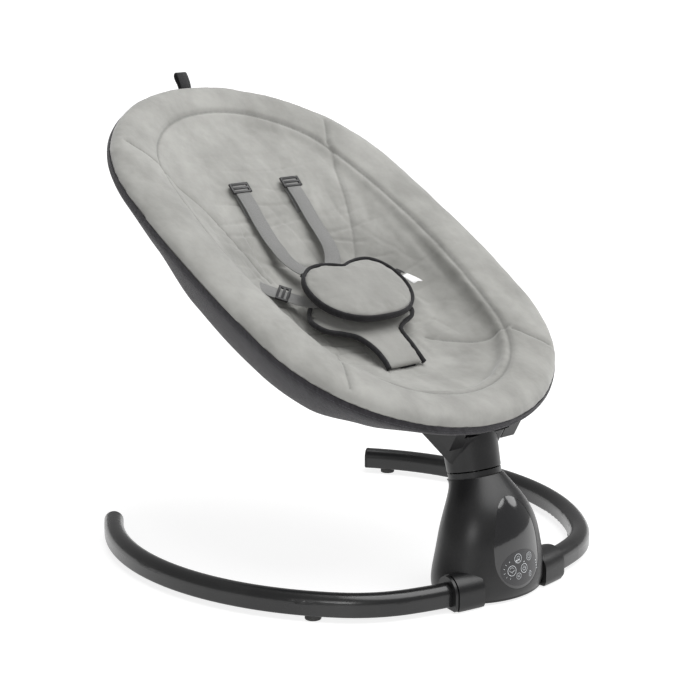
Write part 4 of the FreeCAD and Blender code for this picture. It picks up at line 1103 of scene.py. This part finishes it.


# stitches laid along the hem
def buildStitchTree():
    tree = bpy.data.node_groups.new("stitchRow", "GeometryNodeTree")
    tree.interface.new_socket("Geometry", in_out="INPUT", socket_type="NodeSocketGeometry")
    for label_, value in (("Spacing", 0.004), ("Length", 0.0028), ("Radius", 0.0003)):
        tree.interface.new_socket(label_, in_out="INPUT", socket_type="NodeSocketFloat").default_value = value
    tree.interface.new_socket("Thread", in_out="INPUT", socket_type="NodeSocketMaterial")
    tree.interface.new_socket("Geometry", in_out="OUTPUT", socket_type="NodeSocketGeometry")
    given, out = tree.nodes.new("NodeGroupInput"), tree.nodes.new("NodeGroupOutput")
    curve = tree.nodes.new("GeometryNodeMeshToCurve")
    resample = tree.nodes.new("GeometryNodeResampleCurve")
    resample.mode = "LENGTH"
    tangent = tree.nodes.new("GeometryNodeInputTangent")
    align = tree.nodes.new("FunctionNodeAlignEulerToVector")
    align.axis = "Z"
    stitch = tree.nodes.new("GeometryNodeMeshCylinder")
    stitch.inputs["Vertices"].default_value = 5
    place = tree.nodes.new("GeometryNodeInstanceOnPoints")
    real = tree.nodes.new("GeometryNodeRealizeInstances")
    paint = tree.nodes.new("GeometryNodeSetMaterial")
    link = tree.links.new
    link(given.outputs["Geometry"], curve.inputs["Mesh"])
    link(curve.outputs["Curve"], resample.inputs["Curve"])
    link(given.outputs["Spacing"], resample.inputs["Length"])
    link(resample.outputs["Curve"], place.inputs["Points"])
    link(tangent.outputs["Tangent"], align.inputs["Vector"])
    link(align.outputs["Rotation"], place.inputs["Rotation"])
    link(given.outputs["Radius"], stitch.inputs["Radius"])
    link(given.outputs["Length"], stitch.inputs["Depth"])
    link(stitch.outputs["Mesh"], place.inputs["Instance"])
    link(place.outputs["Instances"], real.inputs["Geometry"])
    link(real.outputs["Geometry"], paint.inputs["Geometry"])
    link(given.outputs["Thread"], paint.inputs["Material"])
    link(paint.outputs["Geometry"], out.inputs["Geometry"])
    return tree


stitchTree = buildStitchTree()


def stitchRow(name, points, spacing, length, radius, closed=True):
    edges = [(i, i + 1) for i in range(len(points) - 1)] + ([(len(points) - 1, 0)] if closed else [])
    mesh = bpy.data.meshes.new(name)
    mesh.from_pydata([tuple(p) for p in points], edges, [])
    piece = bpy.data.objects.new(name, mesh)
    scene.collection.objects.link(piece)
    mod = piece.modifiers.new("stitches", "NODES")
    mod.node_group = stitchTree
    sockets = {item.name: item.identifier for item in stitchTree.interface.items_tree if item.in_out == "INPUT"}
    for key, value in (("Spacing", spacing), ("Length", length), ("Radius", radius), ("Thread", finishes["thread"])):
        mod[sockets[key]] = value
    settle(piece)
    return piece


def ovalLine(grow, level, count=240):
    return [seatPoint(r * sin(2 * pi * k / count), r * cos(2 * pi * k / count), level)
            for k in range(count) for r in (ovalReach(2 * pi * k / count, *(size + grow for size in hoop)),)]


hemStitches = stitchRow("hemStitches", ovalLine(17.75, -6.2), 0.0042, 0.0028, 0.00032)
print("stage: sewn details")
# pale key symbols printed on the lens: flat strips and discs laid on its surface
iconSettings = {
    "lift": 0.00025,
    "line": 0.66,
    "grow": 0.74,
    "middle": (0, 46),
    "from": (1.0, 51.0),
}


def onPanel(x, z, s):  # a point of the icon layout, in millimetres, as a point on the lens
    across = s["middle"][0] + (x - s["from"][0]) * s["grow"]
    high = s["middle"][1] + (z - s["from"][1]) * s["grow"]
    at = Vector((across * mm, -0.2, high * mm))
    hit = panelTree.ray_cast(at, Vector((0, 1, 0)))[0]
    return hit - Vector((0, s["lift"], 0))


def iconLine(points, s, wide=1.0, closed=False):
    path = list(points)
    count = len(path)
    rows = []
    for i, (x, z) in enumerate(path):
        before = path[(i - 1) % count] if closed else path[max(i - 1, 0)]
        after = path[(i + 1) % count] if closed else path[min(i + 1, count - 1)]
        ahead = Vector((after[0] - before[0], after[1] - before[1])).normalized() * (s["line"] * wide / 2)
        rows.append((onPanel(x - ahead.y, z + ahead.x, s), onPanel(x + ahead.y, z - ahead.x, s)))
    first = len(iconVerts)
    for left, right in rows:
        iconVerts.extend((left, right))
    for i in range(count if closed else count - 1):
        j = (i + 1) % count
        iconFaces.append((first + 2 * i, first + 2 * i + 1, first + 2 * j + 1, first + 2 * j))


def arcPoints(x, z, rx, rz, start=0, end=360, steps=28):
    turns = [radians(start + (end - start) * k / steps) for k in range(steps + 1)]
    return [(x + rx * cos(t), z + rz * sin(t)) for t in turns]


def iconRing(x, z, rx, rz, s, wide=1.0):
    iconLine(arcPoints(x, z, rx, rz)[:-1], s, wide, closed=True)


def iconDot(x, z, r, s):
    iconLine(arcPoints(x, z, r / 2, r / 2, steps=12)[:-1], s, r / s["line"], closed=True)


def drawIcons(s):
    iconRing(-6.3, 69.3, 8.2, 8.2, s, 1.3)
    iconLine([(-8.6, 65.6), (-8.6, 72.6), (-3.6, 73.6), (-3.6, 66.6)], s)
    iconDot(-9.8, 65.6, 1.7, s)
    iconDot(-4.8, 66.6, 1.7, s)
    iconRing(23.2, 66.9, 7.2, 7.2, s)
    iconRing(23.2, 66.9, 3.9, 3.9, s)
    iconLine([(23.2, 69.4), (23.2, 66.9), (25, 66.1)], s)
    iconRing(7.5, 48.6, 8.2, 8.2, s, 1.3)
    iconLine(arcPoints(7.5, 48.4, 3.6, 3.6, 120, 420), s, 1.2)
    iconLine([(7.5, 53.4), (7.5, 48.8)], s, 1.2)
    iconRing(-22, 49.4, 9.2, 9.2, s, 1.3)
    iconLine(arcPoints(-22, 50.6, 5.4, 3.4, 180, 360), s)
    iconLine(arcPoints(-22, 52.6, 3.4, 2.6, 0, 180), s)
    iconLine([(-22, 47.2), (-22, 44.4)], s)
    iconRing(-6.6, 36.9, 5.6, 5.6, s)
    iconLine([(-8.8, 38.6), (-4.4, 38.6), (-4.4, 35.6), (-8.8, 35.6)], s, closed=True)
    iconRing(23.9, 34.8, 3.2, 5.0, s)
    iconLine([(23.9, 37.2), (23.9, 32.4)], s)
    iconDot(8.1, 60.6, 1.3, s)
    for k in range(6):
        turn = radians(105 + 30 * k)
        x, z = -22 + 15.5 * cos(turn), 50.6 + 14.6 * sin(turn)
        iconLine([(x, z), (x + 2.6 * cos(turn), z + 2.6 * sin(turn))], s, 1.1)
    for k in range(4):
        iconDot(43.4 + 0.9 * k, 54 - 5 * k, 1.3, s)


lens = [nodes[name] for name in ("control_panel", "touch_pad")]
lensPoints = [piece.matrix_world @ v.co for piece in lens for v in piece.data.vertices]
firstCount = len(lens[0].data.vertices)
lensFaces = [tuple(p.vertices) for p in lens[0].data.polygons]
lensFaces += [tuple(v + firstCount for v in p.vertices) for p in lens[1].data.polygons]
panelTree = BVHTree.FromPolygons(lensPoints, lensFaces)
iconVerts, iconFaces = [], []
drawIcons(iconSettings)
icons = newPiece("panelSymbols", iconVerts, iconFaces, finishes["iconInk"])
print("stage: panel symbols")




# finishes of the moulded, turned and cast pieces
nodeFinishes = {
    "powderBlack": ("right_base_tube", "left_base_tube"),
    "satinBlack": ("right_tube_cap", "left_tube_cap", "base_plate", "front_housing", "rear_housing",
                   "right_socket_sleeve", "left_socket_sleeve", "neck_ring", "swivel_collar", "seat_bracket",
                   "speaker", "dc_inlet"),
    "frameGrey": ("base_joiner", "chassis", "motor_bracket"),
    "lensBlack": ("control_panel",),
    "keyFilm": ("touch_pad",),
    "footRubber": ("right_front_foot", "left_front_foot", "right_rear_foot", "left_rear_foot", "rest_pad"),
    "turnedSteel": ("lower_bearing", "upper_bearing", "motor", "motor_shaft", "swing_shaft", "upper_hoop_tube",
                    "lower_hoop_tube", "right_hoop_connector", "left_hoop_connector"),
    "zincSteel": ("tube_screws", "chassis_screws", "bracket_screws"),
    "gearWhite": ("drive_pinion", "sector_gear"),
    "boardGreen": ("control_board",),
    "buckleBlack": ("right_strap_adjuster", "left_strap_adjuster", "right_shoulder_tongue", "left_shoulder_tongue",
                    "right_waist_tongue", "left_waist_tongue", "buckle"),
    "buttonRed": ("release_button",),
    "binding": ("crotch_strap",),
}
for finishName, names in nodeFinishes.items():
    for nodeName in names:
        nodes[nodeName].data.materials.clear()
        nodes[nodeName].data.materials.append(finishes[finishName])


# which body each piece moves with, and which nodes it stands for
pieceList = (
    (cover, "seat", "velour_grey", ("rim_roll", "seat_pad")),
    (sling, "seat", "dark_weave", ("sling_hem", "back_sling")),
    (hemStitches, "seat", "dark_weave", ()),
    (shoulderStraps["right"][0], "seat", "webbing_grey", ("right_shoulder_strap",)),
    (shoulderStraps["right"][1], "seat", "webbing_grey", ()),
    (shoulderStraps["left"][0], "seat", "webbing_grey", ("left_shoulder_strap",)),
    (shoulderStraps["left"][1], "seat", "webbing_grey", ()),
    (strapSlides["right"], "right_slider", "buckle_plastic", ("right_strap_adjuster",)),
    (strapSlides["left"], "left_slider", "buckle_plastic", ("left_strap_adjuster",)),
    (waistStraps["right"], "seat", "webbing_grey", ("right_waist_strap",)),
    (waistStraps["left"], "seat", "webbing_grey", ("left_waist_strap",)),
    (waistAdjusters[0], "seat", "buckle_plastic", ()),
    (waistAdjusters[1], "seat", "buckle_plastic", ()),
    (kidney, "seat", "velour_grey", ("buckle_pad",)),
    (kidneyTape, "seat", "dark_weave", ()),
    (crotch, "seat", "velour_grey", ("crotch_pad",)),
    (crotchTape, "seat", "dark_weave", ()),
    (label, "seat", "label_white", ("care_label",)),
    (labelTab, "seat", "dark_weave", ()),
    (headLoop, "seat", "webbing_black", ("head_loop",)),
    (icons, "base", "touch_film", ()),
)
for piece, body, slotName, stands in pieceList:
    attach(piece, body)
    if stands:
        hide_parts(*stands)


print("stage: finished")
